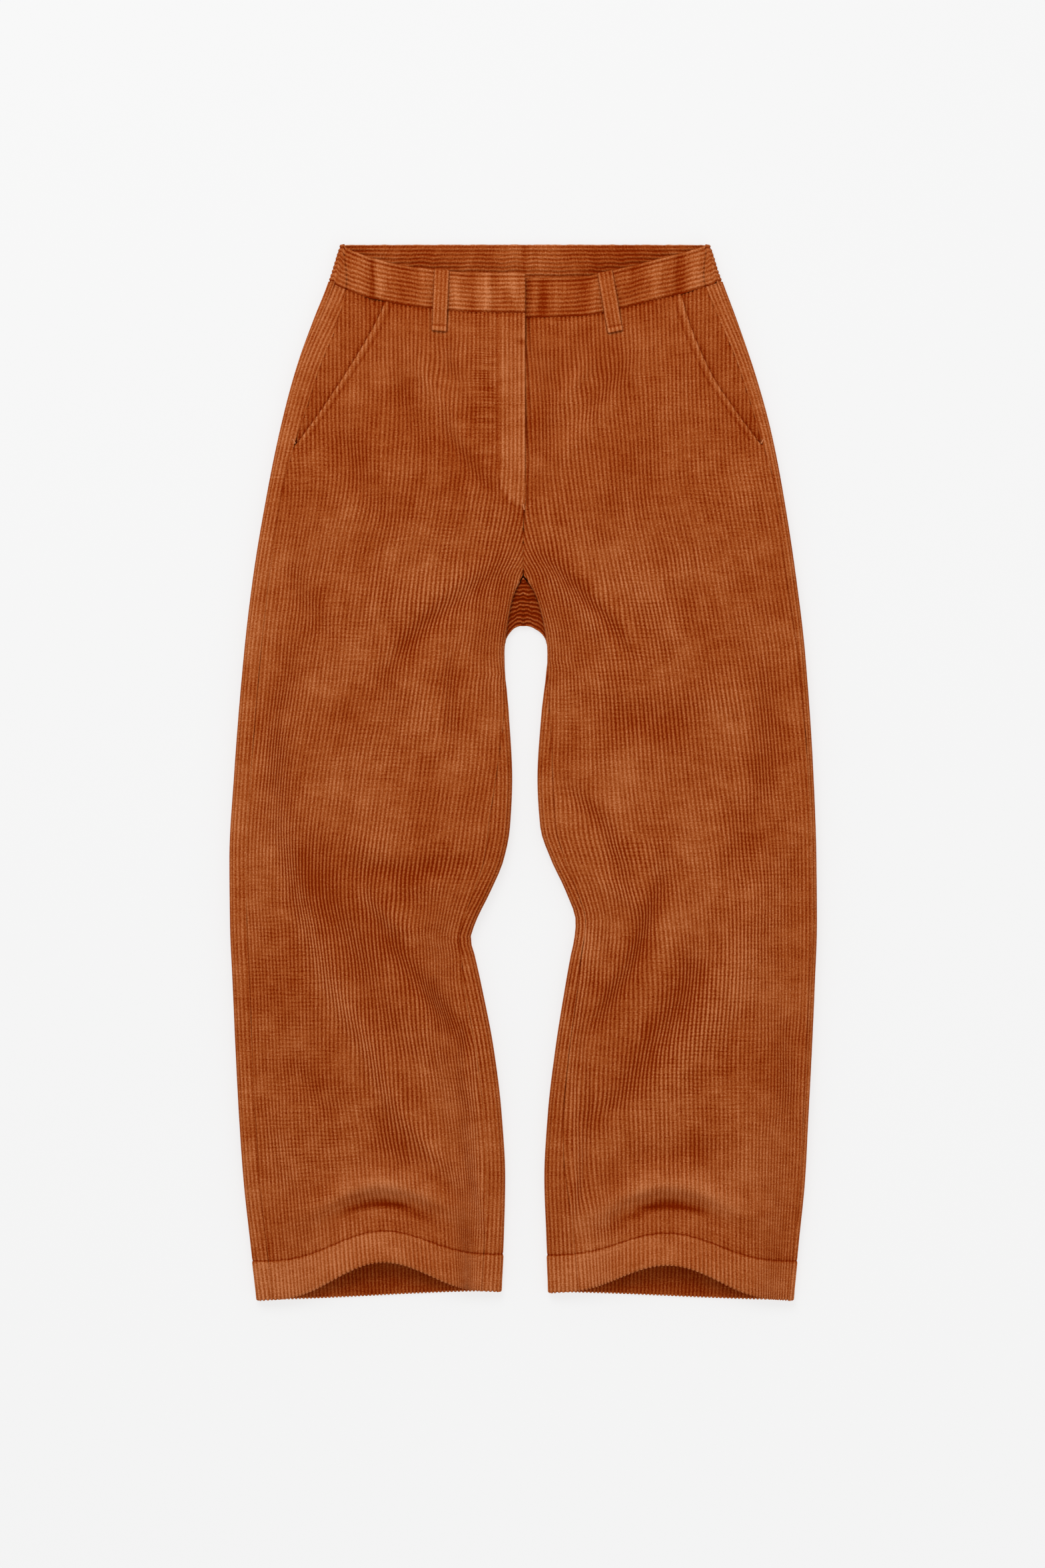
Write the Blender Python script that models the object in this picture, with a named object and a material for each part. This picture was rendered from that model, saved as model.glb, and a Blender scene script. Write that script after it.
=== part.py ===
"""Corduroy trousers with curved legs, laid flat on a surface, front up.

Metres, +Z up from the surface, +Y from hems to waist, +X towards the wearer's left.
The origin is the centre of the box's underside. The tables are in millimetres.

The cloth is a flattened tube: at each level it has an outer and an inner edge, where it
rolls over in an arc, a flat underside and a lofted top. "Across" is the distance from the
centre line towards that half's side seam, so one set of functions makes both halves.
No modelling tool lofts such sheets, so they are made as grids of points with a wall.
"""

import math
from collections import namedtuple

import bmesh
import bpy
import numpy as np

MM = 0.001

# Cloth and make.
CLOTH = 1.6                # one layer of corduroy
BAND_CLOTH = 3.0           # waistband: two layers and interlining
LOOP_CLOTH = 1.8           # belt loop: a folded strip
GAP = 0.4                  # between pieces at seams and between layers
BAND_TOP = 476.0
WAIST_LEVEL = 442.0        # waistband seam at the side folds
HEM_LEVEL = -476.0         # hem fold at the outer corners
FOLD_RADIUS = CLOTH + GAP / 2
CROTCH_LEVEL = 177.0       # where the front crotch seam ends
ARCH_FOOT = 112.0          # where the fold between the legs becomes the inner fold
ARCH_RISE = 20.0
ARCH_RADIUS = 3.1          # roll of the back crotch at the top of the arch
SEAT_FOOT = 150.0          # level at the side folds of the row through the arch
POCKET_FOOT = 296.0
FACING_UNDER = 26.0        # pocket facing hidden beneath the front panel
FLY_LEVEL = 239.0          # foot of the fly opening
FLY_LAP = 1.8              # the right front's fly edge, past the centre line
FLY_UNDER = 7.0            # the left front's edge, beneath it
LOOP_WIDTH = 13.8
LOOP_SLACK = 2.2           # room for a belt halfway down a loop
BACK_LIFT = LOOP_CLOTH + GAP   # the back of the waist lies on its loops

Pair = namedtuple("Pair", "level right left")
Height = namedtuple("Height", "level outer inner middle")
Inset = namedtuple("Inset", "level right_side right_inseam left_side left_inseam")
Waist = namedtuple("Waist", "share right left")
Crease = namedtuple("Crease", "leg across level to_across to_level width height")
Hump = namedtuple("Hump", "centre half_width rise inner_tilt")
Loop = namedtuple("Loop", "name top_x foot_x")

OUTER_EDGE = (
    Pair(476, 165.0, 168.0), Pair(442, 175.5, 179.5), Pair(407, 189.0, 192.5),
    Pair(364, 204.5, 207.5), Pair(306, 219.5, 223.5), Pair(249, 231.0, 234.5),
    Pair(177, 243.0, 245.5), Pair(105, 251.5, 254.0), Pair(-6, 260.5, 261.5),
    Pair(-78, 264.5, 264.0), Pair(-135, 264.0, 264.5), Pair(-193, 261.5, 262.5),
    Pair(-250, 259.0, 260.0), Pair(-308, 256.0, 257.0), Pair(-366, 252.0, 254.0),
    Pair(-423, 246.0, 248.5), Pair(-476, 240.0, 243.5),
)
INNER_EDGE = (
    Pair(177, -1.8, -1.8), Pair(172, 2.5, 3.5), Pair(163, 7.5, 10.0),
    Pair(150, 11.5, 14.8), Pair(124, 15.6, 20.5), Pair(105, 17.0, 22.0),
    Pair(52, 13.0, 16.5), Pair(-6, 10.0, 13.0), Pair(-49, 12.0, 15.5),
    Pair(-78, 17.5, 25.0), Pair(-107, 29.5, 38.5), Pair(-135, 43.0, 47.5),
    Pair(-150, 47.5, 46.2), Pair(-164, 44.0, 43.2), Pair(-193, 37.5, 38.0),
    Pair(-250, 26.5, 29.0), Pair(-308, 19.5, 22.3), Pair(-366, 16.3, 19.2),
    Pair(-423, 17.5, 21.0), Pair(-476, 20.0, 23.0),
)
# Height of the top at the outer fold, at the inner fold or centre seam, and the extra
# loft halfway between them.
HEIGHTS = (
    Height(476, 12.5, 17.0, 2.0), Height(442, 13.5, 17.5, 2.0), Height(411, 14.5, 17.5, 2.5),
    Height(364, 15.5, 17.5, 3.0), Height(300, 17.0, 17.5, 3.0), Height(249, 18.0, 17.0, 3.0),
    Height(177, 18.5, 15.0, 2.0), Height(140, 19.0, 14.5, 1.5), Height(105, 19.0, 14.0, 1.0),
    Height(52, 19.0, 14.0, 0.0), Height(-6, 19.0, 15.0, -1.0), Height(-78, 18.5, 16.0, 0.0),
    Height(-150, 18.0, 16.0, 1.0), Height(-250, 17.5, 16.0, -1.0), Height(-366, 16.0, 14.5, -1.0),
    Height(-423, 13.0, 12.0, 0.0), Height(-476, 10.5, 10.5, 0.0),
)
# How far inside the edge each seam lies on the top; under zero, round the fold below.
SEAM_INSETS = (
    Inset(476, 3.0, 2.0, 3.0, 2.0), Inset(442, 16.0, 2.0, 15.0, 2.0),
    Inset(388, 21.0, 2.0, 13.5, 2.0), Inset(336, 20.5, 2.0, 12.5, 2.0),
    Inset(301, 17.0, 2.0, 11.0, 2.0), Inset(255, 14.0, 2.0, 6.5, 2.0),
    Inset(177, 15.0, 2.0, 9.0, 2.0), Inset(165, 15.0, -2.7, 9.0, -2.7),
    Inset(150, 15.5, -3.6, 8.5, -3.6), Inset(124, 15.5, -2.6, 7.5, -2.6),
    Inset(112, 15.5, -1.2, 6.5, -1.2), Inset(84, 15.5, 0.2, 6.0, 1.5),
    Inset(52, 15.5, 4.0, 5.5, 7.5), Inset(23, 15.5, 9.6, 5.0, 11.5),
    Inset(-13, 15.5, 15.5, 5.0, 14.0), Inset(-49, 15.5, 19.0, 5.0, 14.0),
    Inset(-107, 15.5, 15.0, 5.0, 10.0), Inset(-150, 15.5, 10.0, 5.0, 8.5),
    Inset(-193, 15.5, 16.0, 5.0, 11.0), Inset(-308, 15.0, 16.0, 4.5, 14.0),
    Inset(-430, 15.0, 17.0, 4.5, 25.0), Inset(-476, 14.0, 17.0, 4.5, 27.0),
)
# Radius of the fronts' roll along the crotch, and the height of the back's edge below it.
ROLL_RADIUS = ((177, 2.0), (165, 3.2), (150, 4.0), (135, 4.3), (124, 5.0), (118, 6.0), (112, 7.0))
BACK_CROTCH_HEIGHT = (
    (177, 12.9), (172, 10.8), (165, 8.5), (150, 6.7), (138, 6.4), (125, 5.8), (118, 5.5),
    (112, 5.5),
)
# The slanted pocket mouth, as a distance across at each level.
POCKET_MOUTH = (
    Pair(442, 124.0, 142.0), Pair(413, 136.0, 150.0), Pair(357, 162.5, 171.0),
    Pair(331, 178.0, 187.0), Pair(POCKET_FOOT, 203.0, 212.5),
)
# Level of the front waistband seam, at shares of the way from the centre to the fold.
WAIST_SEAM = (
    Waist(0.0, 413.0, 408.5), Waist(0.28, 414.0, 410.0), Waist(0.57, 419.0, 420.5),
    Waist(0.80, 427.5, 431.0), Waist(0.92, 435.0, 437.0), Waist(1.0, 442.0, 442.0),
)
HEM_LIFT = ((0, 1.0), (36, 0.75), (62, 0.62), (92, 0.3), (130, 0.08), (180, 0.0))
# The largest soft folds of the front, each a straight ridge or trough.
CREASES = (
    Crease("right", 68, 128, 108, 50, 9, -2.6), Crease("right", 78, 134, 122, 46, 8, 1.6),
    Crease("right", 140, -112, 92, -184, 11, -3.0), Crease("right", 118, -96, 74, -160, 12, 2.2),
    Crease("right", 205, -100, 145, -260, 12, -2.8), Crease("right", 190, -96, 128, -262, 10, 1.8),
    Crease("left", 26, 160, 102, 92, 9, -2.6), Crease("left", 40, 166, 112, 106, 8, 1.6),
    Crease("left", 118, -118, 70, -180, 11, -3.0), Crease("left", 104, -102, 62, -150, 12, 2.0),
    Crease("left", 222, -124, 170, -216, 10, -2.2), Crease("left", 142, -208, 108, -256, 7, -2.0),
)
HUMPS = {
    "right": Hump(128.0, 52.0, 33.0, 8.0),
    "left": Hump(132.0, 54.0, 31.0, 7.0),
}
FRONT_LOOPS = (Loop("belt_loop_front_right", -71.0, -75.5), Loop("belt_loop_front_left", 73.5, 83.0))
BACK_LOOPS = (
    Loop("belt_loop_back_right", -105.0, -105.0),
    Loop("belt_loop_back_centre", 0.0, 0.0),
    Loop("belt_loop_back_left", 105.0, 105.0),
)

# Mesh density.
HEM_ROWS = (HEM_LEVEL + FOLD_RADIUS, -440.0)
LEG_ROWS = (-412.0, -385.0, -330.0, -270.0, -215.0, -178.0, -150.0, -122.0, -95.0, -55.0, 0.0)
LEG_ROWS += (40.0, 72.0, 97.0)
FAN_STEPS = 6
FACING_ROWS = (POCKET_FOOT, 306.0, 332.0, 362.0, 392.0, 412.0, WAIST_LEVEL - GAP)
SEAT_ROWS = (165.0, 195.0, 234.0, 244.0, 270.0) + FACING_ROWS
BAND_ROWS = (WAIST_LEVEL, 453.0, 465.0, BAND_TOP)
FRONT_SHARES = (0.0, 0.03, 0.075, 0.16, 0.28, 0.41, 0.54, 0.67, 0.8, 0.89, 0.945, 0.975, 1.0)
EDGE_SHARES = (0.0, 0.18, 0.36, 0.52, 0.68, 0.84, 1.0)


def smoothstep(value, low, high):
    """0 up to low, 1 from high, and an even S between them."""
    t = np.clip((np.asarray(value, float) - low) / (high - low), 0, 1)
    return t * t * (3 - 2 * t)


def through(pairs):
    """A smooth curve through the points that never swings past them."""
    x, y = np.array(sorted(pairs), float).T
    width = np.diff(x)
    slope = np.diff(y) / width
    tangent = np.zeros(len(x))
    tangent[0], tangent[-1] = slope[0], slope[-1]
    for i in range(1, len(x) - 1):
        if slope[i - 1] * slope[i] > 0:
            tangent[i] = 2 / (1 / slope[i - 1] + 1 / slope[i])

    def at(place):
        p = np.clip(np.asarray(place, float), x[0], x[-1])
        i = np.clip(np.searchsorted(x, p, side="right") - 1, 0, len(x) - 2)
        t = (p - x[i]) / width[i]
        ends = (1 + 2 * t) * (1 - t) ** 2 * y[i] + t * t * (3 - 2 * t) * y[i + 1]
        bends = t * (1 - t) ** 2 * tangent[i] + t * t * (t - 1) * tangent[i + 1]
        return ends + width[i] * bends

    return at


def column(rows, name, key="level"):
    """The named column of a table, as a curve of its first column."""
    return through([(getattr(r, key), getattr(r, name)) for r in rows])


roll_radius = through(ROLL_RADIUS)
back_crotch_height = through(BACK_CROTCH_HEIGHT)
hem_lift = through(HEM_LIFT)


def back_lift(level):
    return BACK_LIFT * smoothstep(level, 388, 410)


def unit(vectors):
    return vectors / np.linalg.norm(vectors, axis=-1, keepdims=True)


class Half:
    """One half of the trousers: sign is -1 for the wearer's right, 1 for the left."""

    def __init__(self, side, sign):
        self.side, self.sign = side, sign
        self.outer = column(OUTER_EDGE, side)
        self.inner = column(INNER_EDGE, side)
        self.outer_height = column(HEIGHTS, "outer")
        self.inner_height = column(HEIGHTS, "inner")
        self.middle = column(HEIGHTS, "middle")
        self.side_inset = column(SEAM_INSETS, side + "_side")
        self.inseam_inset = column(SEAM_INSETS, side + "_inseam")
        self.mouth = column(POCKET_MOUTH, side)
        self.waist_seam = column(WAIST_SEAM, side, "share")
        self.hump = HUMPS[side]

    def outer_radius(self, level):
        return (self.outer_height(level) - back_lift(level)) / 2

    def inner_radius(self, level):
        """The front's roll at the crotch, half the cloth's height below it."""
        return np.where(level < ARCH_FOOT, self.inner_height(level) / 2, roll_radius(level))

    def top_start(self, level):
        """Where the top leaves the inner roll or, above the crotch, past the centre."""
        roll = self.inner(level) + self.inner_radius(level)
        return np.where(level > CROTCH_LEVEL, -12.0, roll)

    def top_end(self, level):
        return self.outer(level) - self.outer_radius(level)

    def hump_shape(self, across):
        t = 1.25 * (across - self.hump.centre) / self.hump.half_width
        return np.exp(-0.5 * t * t * (1 + 0.1 * t * t))

    def tilt(self, across, level):
        """The hem rises a little from the outer to the inner edge."""
        share = 1 - smoothstep(across, 20, 245)
        return self.hump.inner_tilt * share * hem_lift(level - HEM_LEVEL)

    def shift(self, across, level):
        """How far up the top's cloth lies from its level: hem hump and waist dip."""
        hump = self.hump.rise * self.hump_shape(across) * hem_lift(level - HEM_LEVEL)
        share = np.clip(across / self.outer(level), 0, 1)
        dip = (self.waist_seam(share) - WAIST_LEVEL) * smoothstep(level, 325, WAIST_LEVEL)
        lean = -0.1 * (1 - share) * np.maximum(level - WAIST_LEVEL, 0)
        return hump + dip + lean

    def folds(self, across, level):
        """Height added by the soft creases and by the hem's arch and buckle."""
        total = 0 * across
        for c in CREASES:
            if c.leg != self.side:
                continue
            reach = np.array([c.to_across - c.across, c.to_level - c.level], float)
            length = np.hypot(*reach)
            way = reach / length
            dx, dy = across - c.across, level - c.level
            t = (dx * way[0] + dy * way[1]) / length
            off = (dx * way[1] - dy * way[0]) / c.width
            total = total + c.height * np.exp(-off * off) * np.exp(-((2.1 * (t - 0.5)) ** 4))
        above = level - HEM_LEVEL
        arch = 17 * np.exp(-((above / 34) ** 2))
        ridge = 8 * np.exp(-(((above - 92) / 16) ** 2))
        return total + self.hump_shape(across) * (arch + ridge)

    def top(self, across, level):
        """Height of the top of the cloth."""
        start = np.where(level > CROTCH_LEVEL, GAP / 2, self.top_start(level))
        t = np.clip((across - start) / (self.top_end(level) - start), 0, 1)
        base = self.inner_height(level) * (1 - t) + self.outer_height(level) * t
        near = np.where(level > CROTCH_LEVEL, 1.0, smoothstep(t, 0, 0.1))
        near = near * (1 - smoothstep(t, 0.9, 1))
        return base + 4 * t * (1 - t) * self.middle(level) + near * self.folds(across, level)

    def around(self, g, level):
        """A point of the outside: g is the way along the cloth from the outer edge, over
        the top to the inner edge and on beneath it; under zero, below the outer edge."""
        g, level = np.broadcast_arrays(np.asarray(g, float), np.asarray(level, float))
        r, roll = self.outer_radius(level), self.inner_radius(level)
        end, start = self.top_end(level), self.top_start(level)
        quarter = math.pi / 2 * r
        last = quarter + end - start
        outer_turn = np.clip(g / r, -math.pi / 2, math.pi / 2)
        inner_turn = math.pi / 2 - np.clip((g - last) / roll, 0, math.pi)
        flat = end - (g - quarter)
        on_outer, on_inner = g < quarter, g > last
        across = np.where(on_outer, end + r * np.cos(outer_turn), flat)
        across = np.where(on_inner, start - roll * np.cos(inner_turn), across)
        height = np.where(
            on_outer,
            self.outer_height(level) - r + r * np.sin(outer_turn),
            self.top(flat, level),
        )
        rolled = self.inner_height(level) - roll + roll * np.sin(inner_turn)
        height = np.where(on_inner, rolled, height)
        lying = np.where(on_outer | on_inner, 0.0, self.shift(across, level))
        along = level + self.tilt(across, level) + lying
        return np.stack([across, along, height], axis=-1)

    def under(self, across, level):
        """A point of the flat underside."""
        across, level = np.broadcast_arrays(np.asarray(across, float), np.asarray(level, float))
        along = level + self.tilt(across, level)
        return np.stack([across, along, back_lift(level)], axis=-1)

    def normal(self, g, level):
        """The outward direction at that point of the outside."""
        ahead = self.around(g + 0.15, level) - self.around(g - 0.15, level)
        up = self.around(g, level + 0.4) - self.around(g, level - 0.4)
        return unit(np.cross(up, ahead))

    def at_across(self, across, level):
        """The way along the cloth to a point of the top."""
        return math.pi / 2 * self.outer_radius(level) + self.top_end(level) - across

    def developed(self, inset, radius):
        """The way along the cloth from an edge's widest line up to an inset from it."""
        on_arc = radius * np.arccos(np.clip(1 - inset / radius, -1, 1))
        beyond = math.pi / 2 * radius + inset - radius
        return np.where(inset < 0, inset, np.where(inset < radius, on_arc, beyond))

    def side_seam(self, level):
        return self.developed(self.side_inset(level), self.outer_radius(level))

    def inseam(self, level):
        """The inseam and, above the crotch, the centre seam and the fly's edge."""
        roll = self.inner_radius(level)
        last = self.at_across(self.top_start(level), level)
        seam = last + math.pi / 2 * roll - self.developed(self.inseam_inset(level), roll)
        open_fly = smoothstep(level, FLY_LEVEL - 5, FLY_LEVEL + 5)
        edge = -FLY_LAP if self.side == "right" else -FLY_UNDER
        centre = GAP / 2 + (edge - GAP / 2) * open_fly
        return np.where(level > CROTCH_LEVEL, self.at_across(centre, level) + GAP / 2, seam)

    def fly_dip(self, points, level):
        """How far the left front and band sink to pass beneath the fly's edge."""
        if self.side == "right":
            return 0 * points[..., 0]
        depth = CLOTH + 1.5 * GAP + (BAND_CLOTH - CLOTH) * smoothstep(level, 405, WAIST_LEVEL - 6)
        near = 1 - smoothstep(points[..., 0], 4, 18)
        return depth * near * smoothstep(level, 203, 229)

    def front_grid(self, rows, first, last, shares):
        """Points and outward directions between two ways along the cloth, for rows that
        each run from one level at the side to another at the centre."""
        side, centre = np.array(rows, float).T[..., None]
        level = side + np.array(shares) * (centre - side)
        g = first(side) + np.array(shares) * (last(centre) - first(side))
        points = self.around(g, level)
        points[..., 2] -= self.fly_dip(points, level)
        return points, self.normal(g, level)

    def fan(self, share):
        """The back crotch between the legs, from beneath the front's roll to the underside:
        share is 0 at the arch's foot and 1 on the centre seam."""
        turn = share * math.pi / 2
        roll_level = ARCH_FOOT + (CROTCH_LEVEL - ARCH_FOOT) * share
        g = float(self.inseam(roll_level)) + GAP / 2
        start = self.around(g, roll_level)
        start[2] = back_crotch_height(roll_level)
        reach = float(self.inner(ARCH_FOOT)) - GAP / 2
        fold = np.array([GAP / 2 + reach * math.cos(turn), ARCH_FOOT + ARCH_RISE * math.sin(turn)])
        out = -unit(np.array([math.cos(turn) * ARCH_RISE, math.sin(turn) * reach]))
        radius = ARCH_RADIUS + (5.5 - ARCH_RADIUS) * (1 - share) ** 2
        points = []
        for step in np.linspace(0, math.pi / 2, 4):
            flat = start[:2] + (fold - start[:2]) * math.sin(step)
            points.append([*flat, radius + (start[2] - radius) * math.cos(step)])
        for step in np.linspace(0, math.pi / 2, 4)[1:]:
            flat = fold - out * radius * (1 - math.cos(step))
            points.append([*flat, radius * (1 - math.sin(step))])
        if share == 1:
            for p in points:
                p[0] = GAP / 2
        return np.array(points)

    def back_row(self, level, start, inner_points, inner_normals):
        """One row of the back: inner part, underside, outer edge and strip on the top."""
        end = float(self.top_end(level))
        spread = np.array([1, 2]) / 3
        across = start[0] + spread * (end - start[0])
        rows = start[1] + spread * (level - start[1])
        flat = self.under(across, rows)
        first = -math.pi / 2 * float(self.outer_radius(level))
        g = first + np.array(EDGE_SHARES) * (float(self.side_seam(level)) - GAP / 2 - first)
        edge = self.around(g, level)
        down = np.tile([0.0, 0.0, -1.0], (len(spread), 1))
        points = np.concatenate([inner_points, flat, edge])
        return points, np.concatenate([inner_normals, down, self.normal(g, level)])


RIGHT, LEFT = Half("right", -1), Half("left", 1)
HALVES = (RIGHT, LEFT)


def corduroy(piece):
    material = bpy.data.materials.new(piece + "_corduroy")
    material.use_nodes = True
    shader = material.node_tree.nodes["Principled BSDF"]
    shader.inputs["Base Color"].default_value = (0.46, 0.13, 0.027, 1)
    shader.inputs["Roughness"].default_value = 0.9
    shader.inputs["Metallic"].default_value = 0.0
    return material


def shell(name, points, normals, thickness, sign=1, missing=None):
    """Cloth between a grid of points and the same grid moved inwards by its thickness."""
    rows, cols = points.shape[:2]
    flip = np.array([sign, 1, 1])
    outside = (points * flip * MM).reshape(-1, 3)
    inside = ((points - normals * thickness) * flip * MM).reshape(-1, 3)
    index = np.arange(rows * cols).reshape(rows, cols)
    count = rows * cols
    faces, edges = [], {}
    for i in range(rows - 1):
        for j in range(cols - 1):
            if missing is not None and missing(i, j):
                continue
            quad = [int(index[k]) for k in ((i, j), (i, j + 1), (i + 1, j + 1), (i + 1, j))]
            faces.append(quad)
            faces.append([n + count for n in reversed(quad)])
            for a, b in zip(quad, quad[1:] + quad[:1]):
                if (b, a) in edges:
                    del edges[(b, a)]
                else:
                    edges[(a, b)] = True
    for low, high in map(sorted, edges):
        faces += [[low, high, high + count], [low, high + count, low + count]]
    mesh = bpy.data.meshes.new(name)
    mesh.from_pydata([tuple(p) for p in np.concatenate([outside, inside])], [], faces)
    tidy = bmesh.new()
    tidy.from_mesh(mesh)
    loose = [v for v in tidy.verts if not v.link_faces]
    bmesh.ops.delete(tidy, geom=loose, context="VERTS")
    bmesh.ops.recalc_face_normals(tidy, faces=tidy.faces)
    tidy.to_mesh(mesh)
    tidy.free()
    mesh.shade_smooth()
    mesh.set_sharp_from_angle(angle=math.radians(50))
    mesh.materials.append(corduroy(name))
    piece = bpy.data.objects.new(name, mesh)
    TROUSERS.objects.link(piece)
    return piece


def with_hem(points, normals):
    """The same grid with its hem allowance folded up inside: its first rows are the hem."""
    depth = len(HEM_ROWS)
    down = points[0] - points[1]
    down = unit(down - normals[0] * np.sum(down * normals[0], axis=-1, keepdims=True))
    inside = points[:depth][::-1] - 2 * FOLD_RADIUS * normals[:depth][::-1]
    centre = points[0] - FOLD_RADIUS * normals[0]
    folds, turned = [], []
    for angle in (135, 90, 45):
        way = normals[0] * math.cos(math.radians(angle)) + down * math.sin(math.radians(angle))
        folds.append(centre + FOLD_RADIUS * way)
        turned.append(way)
    all_points = np.concatenate([inside, np.array(folds), points])
    return all_points, np.concatenate([-normals[:depth][::-1], np.array(turned), normals])


def fan_rows():
    """Levels at the side and at the crotch of the rows that fan out from the arch."""
    shares = np.linspace(0, 1, FAN_STEPS)
    side = ARCH_FOOT + (SEAT_FOOT - ARCH_FOOT) * shares
    return list(zip(side, ARCH_FOOT + (CROTCH_LEVEL - ARCH_FOOT) * shares))


def front(half):
    """A front: hem to waistband, side seam or pocket mouth to inseam or centre."""

    def first(level):
        seam = half.side_seam(level)
        mouth = half.at_across(half.mouth(level), level)
        return np.where(level > POCKET_FOOT - 1, np.maximum(mouth, seam), seam) + GAP / 2

    rows = [(v, v) for v in HEM_ROWS + LEG_ROWS] + fan_rows()
    rise = CROTCH_LEVEL - SEAT_FOOT
    rows += [(v, v + rise * float(1 - smoothstep(v, SEAT_FOOT, 230))) for v in SEAT_ROWS]
    grid = half.front_grid(rows, first, lambda v: half.inseam(v) - GAP / 2, FRONT_SHARES)
    shell("front_" + half.side, *with_hem(*grid), CLOTH, half.sign)


def back(half):
    """A back: it wraps round both edges of its leg and meets the other at the seat seam."""
    points, normals = [], []
    for level in HEM_ROWS + LEG_ROWS:
        seam = float(half.inseam(level)) + GAP / 2
        last = float(half.at_across(half.top_start(level), level))
        bottom = last + math.pi * float(half.inner_radius(level))
        g = seam + np.array(EDGE_SHARES) * (bottom - seam)
        start = [float(half.top_start(level)), level]
        row = half.back_row(level, start, half.around(g, level), half.normal(g, level))
        points.append(row[0])
        normals.append(row[1])
    tubes = len(points)
    for step, (level, _) in enumerate(fan_rows()):
        inner = half.fan(step / (FAN_STEPS - 1))
        row = half.back_row(level, inner[-1][:2], inner, 0 * inner)
        points.append(row[0])
        normals.append(row[1])
    fans = len(points)
    for level in SEAT_ROWS:
        start = half.under(GAP / 2, level)
        inner = np.tile(start, (len(EDGE_SHARES), 1))
        down = np.tile([0.0, 0.0, -1.0], (len(EDGE_SHARES), 1))
        row = half.back_row(level, start[:2], inner, down)
        points.append(row[0])
        normals.append(row[1])
    points, normals = np.array(points), np.array(normals)
    width = len(EDGE_SHARES)
    for i in range(tubes, fans):
        for j in range(width):
            before, after = max(j - 1, 0), min(j + 1, width - 1)
            ahead = points[i, after] - points[i, before]
            up = points[min(i + 1, fans - 1), j] - points[i - 1, j]
            turned = np.cross(up, ahead)
            if i == fans - 1:
                turned[0] = 0.0
            normals[i, j] = unit(turned)
    normals[tubes:fans, width - 1] = (0.0, 0.0, -1.0)
    all_points, all_normals = with_hem(points, normals)
    added = len(all_points) - len(points)

    def missing(i, j):
        return i >= fans - 1 + added and j < width - 1

    shell("back_" + half.side, all_points, all_normals, CLOTH, half.sign, missing)


def pocket_facing(half):
    """The facing seen in the pocket mouth; it passes beneath the front."""

    def first(level):
        return half.side_seam(level) + GAP / 2

    def last(level):
        return half.at_across(half.mouth(level) - FACING_UNDER, level)

    level = np.array(FACING_ROWS, float)[:, None]
    shares = np.array([0, 0.12, 0.26, 0.42, 0.6, 0.8, 1.0])
    g = first(level) + shares * (last(level) - first(level))
    mouth = half.at_across(half.mouth(level), level)
    width = mouth - first(level)
    rise = (1 - smoothstep(g, first(level) + 0.3, mouth - 0.25 * width)) * smoothstep(width, 6, 20)
    normals = half.normal(g, level)
    points = half.around(g, level) - normals * ((CLOTH + GAP) * (1 - rise))[..., None]
    shell("pocket_facing_" + half.side, points, normals, CLOTH, half.sign)


def front_band(half):
    """The waistband's front, from the side to the centre, where the right one laps."""

    def first(level):
        return half.side_seam(level) + GAP / 2

    rows = [(v, v) for v in BAND_ROWS]
    grid = half.front_grid(rows, first, lambda v: half.inseam(v) - GAP / 2, FRONT_SHARES)
    shell("waistband_front_" + half.side, *grid, BAND_CLOTH, half.sign)


def back_band():
    """The waistband's back, from side seam to side seam beneath."""
    points, normals = [], []
    for level in BAND_ROWS:
        row, turned = [], []
        for half in HALVES:
            start = half.under(0.0, level)
            ends = half.back_row(level, start[:2], start[None], np.array([[0.0, 0.0, -1.0]]))
            flip = np.array([half.sign, 1, 1])
            row.append(ends[0] * flip)
            turned.append(ends[1] * flip)
        points.append(np.concatenate([row[0][:0:-1], row[1]]))
        normals.append(np.concatenate([turned[0][:0:-1], turned[1]]))
    shell("waistband_back", np.array(points), np.array(normals), BAND_CLOTH)


def front_loop(loop):
    """A belt loop down the front waistband, standing off it halfway."""
    half = RIGHT if loop.top_x < 0 else LEFT
    levels = np.array([420.0, 424.0, 431.0, 442.0, 456.0, 470.0, BAND_TOP])[:, None]
    t = (levels - levels[0]) / (levels[-1] - levels[0])
    centre = abs(loop.foot_x) + (abs(loop.top_x) - abs(loop.foot_x)) * t
    across = centre - np.array([-0.5, 0, 0.5]) * LOOP_WIDTH
    g = half.at_across(across, levels)
    normals = half.normal(g, levels)
    away = GAP + LOOP_CLOTH + LOOP_SLACK * np.sin(math.pi * smoothstep(t, 0.05, 1.0)) ** 0.7
    shell(loop.name, half.around(g, levels) + normals * away[..., None], normals, LOOP_CLOTH, half.sign)


def back_loop(loop):
    """A belt loop beneath the back waistband, pressed flat."""
    levels = np.array([420.0, 434.0, 448.0, 462.0, BAND_TOP])
    points = np.zeros((len(levels), 3, 3))
    points[..., 0] = loop.top_x + np.array([-0.5, 0, 0.5]) * LOOP_WIDTH
    points[..., 1] = levels[:, None]
    normals = np.zeros_like(points)
    normals[..., 2] = -1
    shell(loop.name, points, normals, LOOP_CLOTH)


def main():
    for half in HALVES:
        back(half)
        front(half)
        pocket_facing(half)
        front_band(half)
    back_band()
    for loop in FRONT_LOOPS:
        front_loop(loop)
    for loop in BACK_LOOPS:
        back_loop(loop)


for old in list(bpy.context.scene.objects):
    bpy.data.objects.remove(old)
bpy.context.scene.unit_settings.system = "METRIC"
TROUSERS = bpy.data.collections.new("corduroy_trousers")
bpy.context.scene.collection.children.link(TROUSERS)
main()
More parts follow.
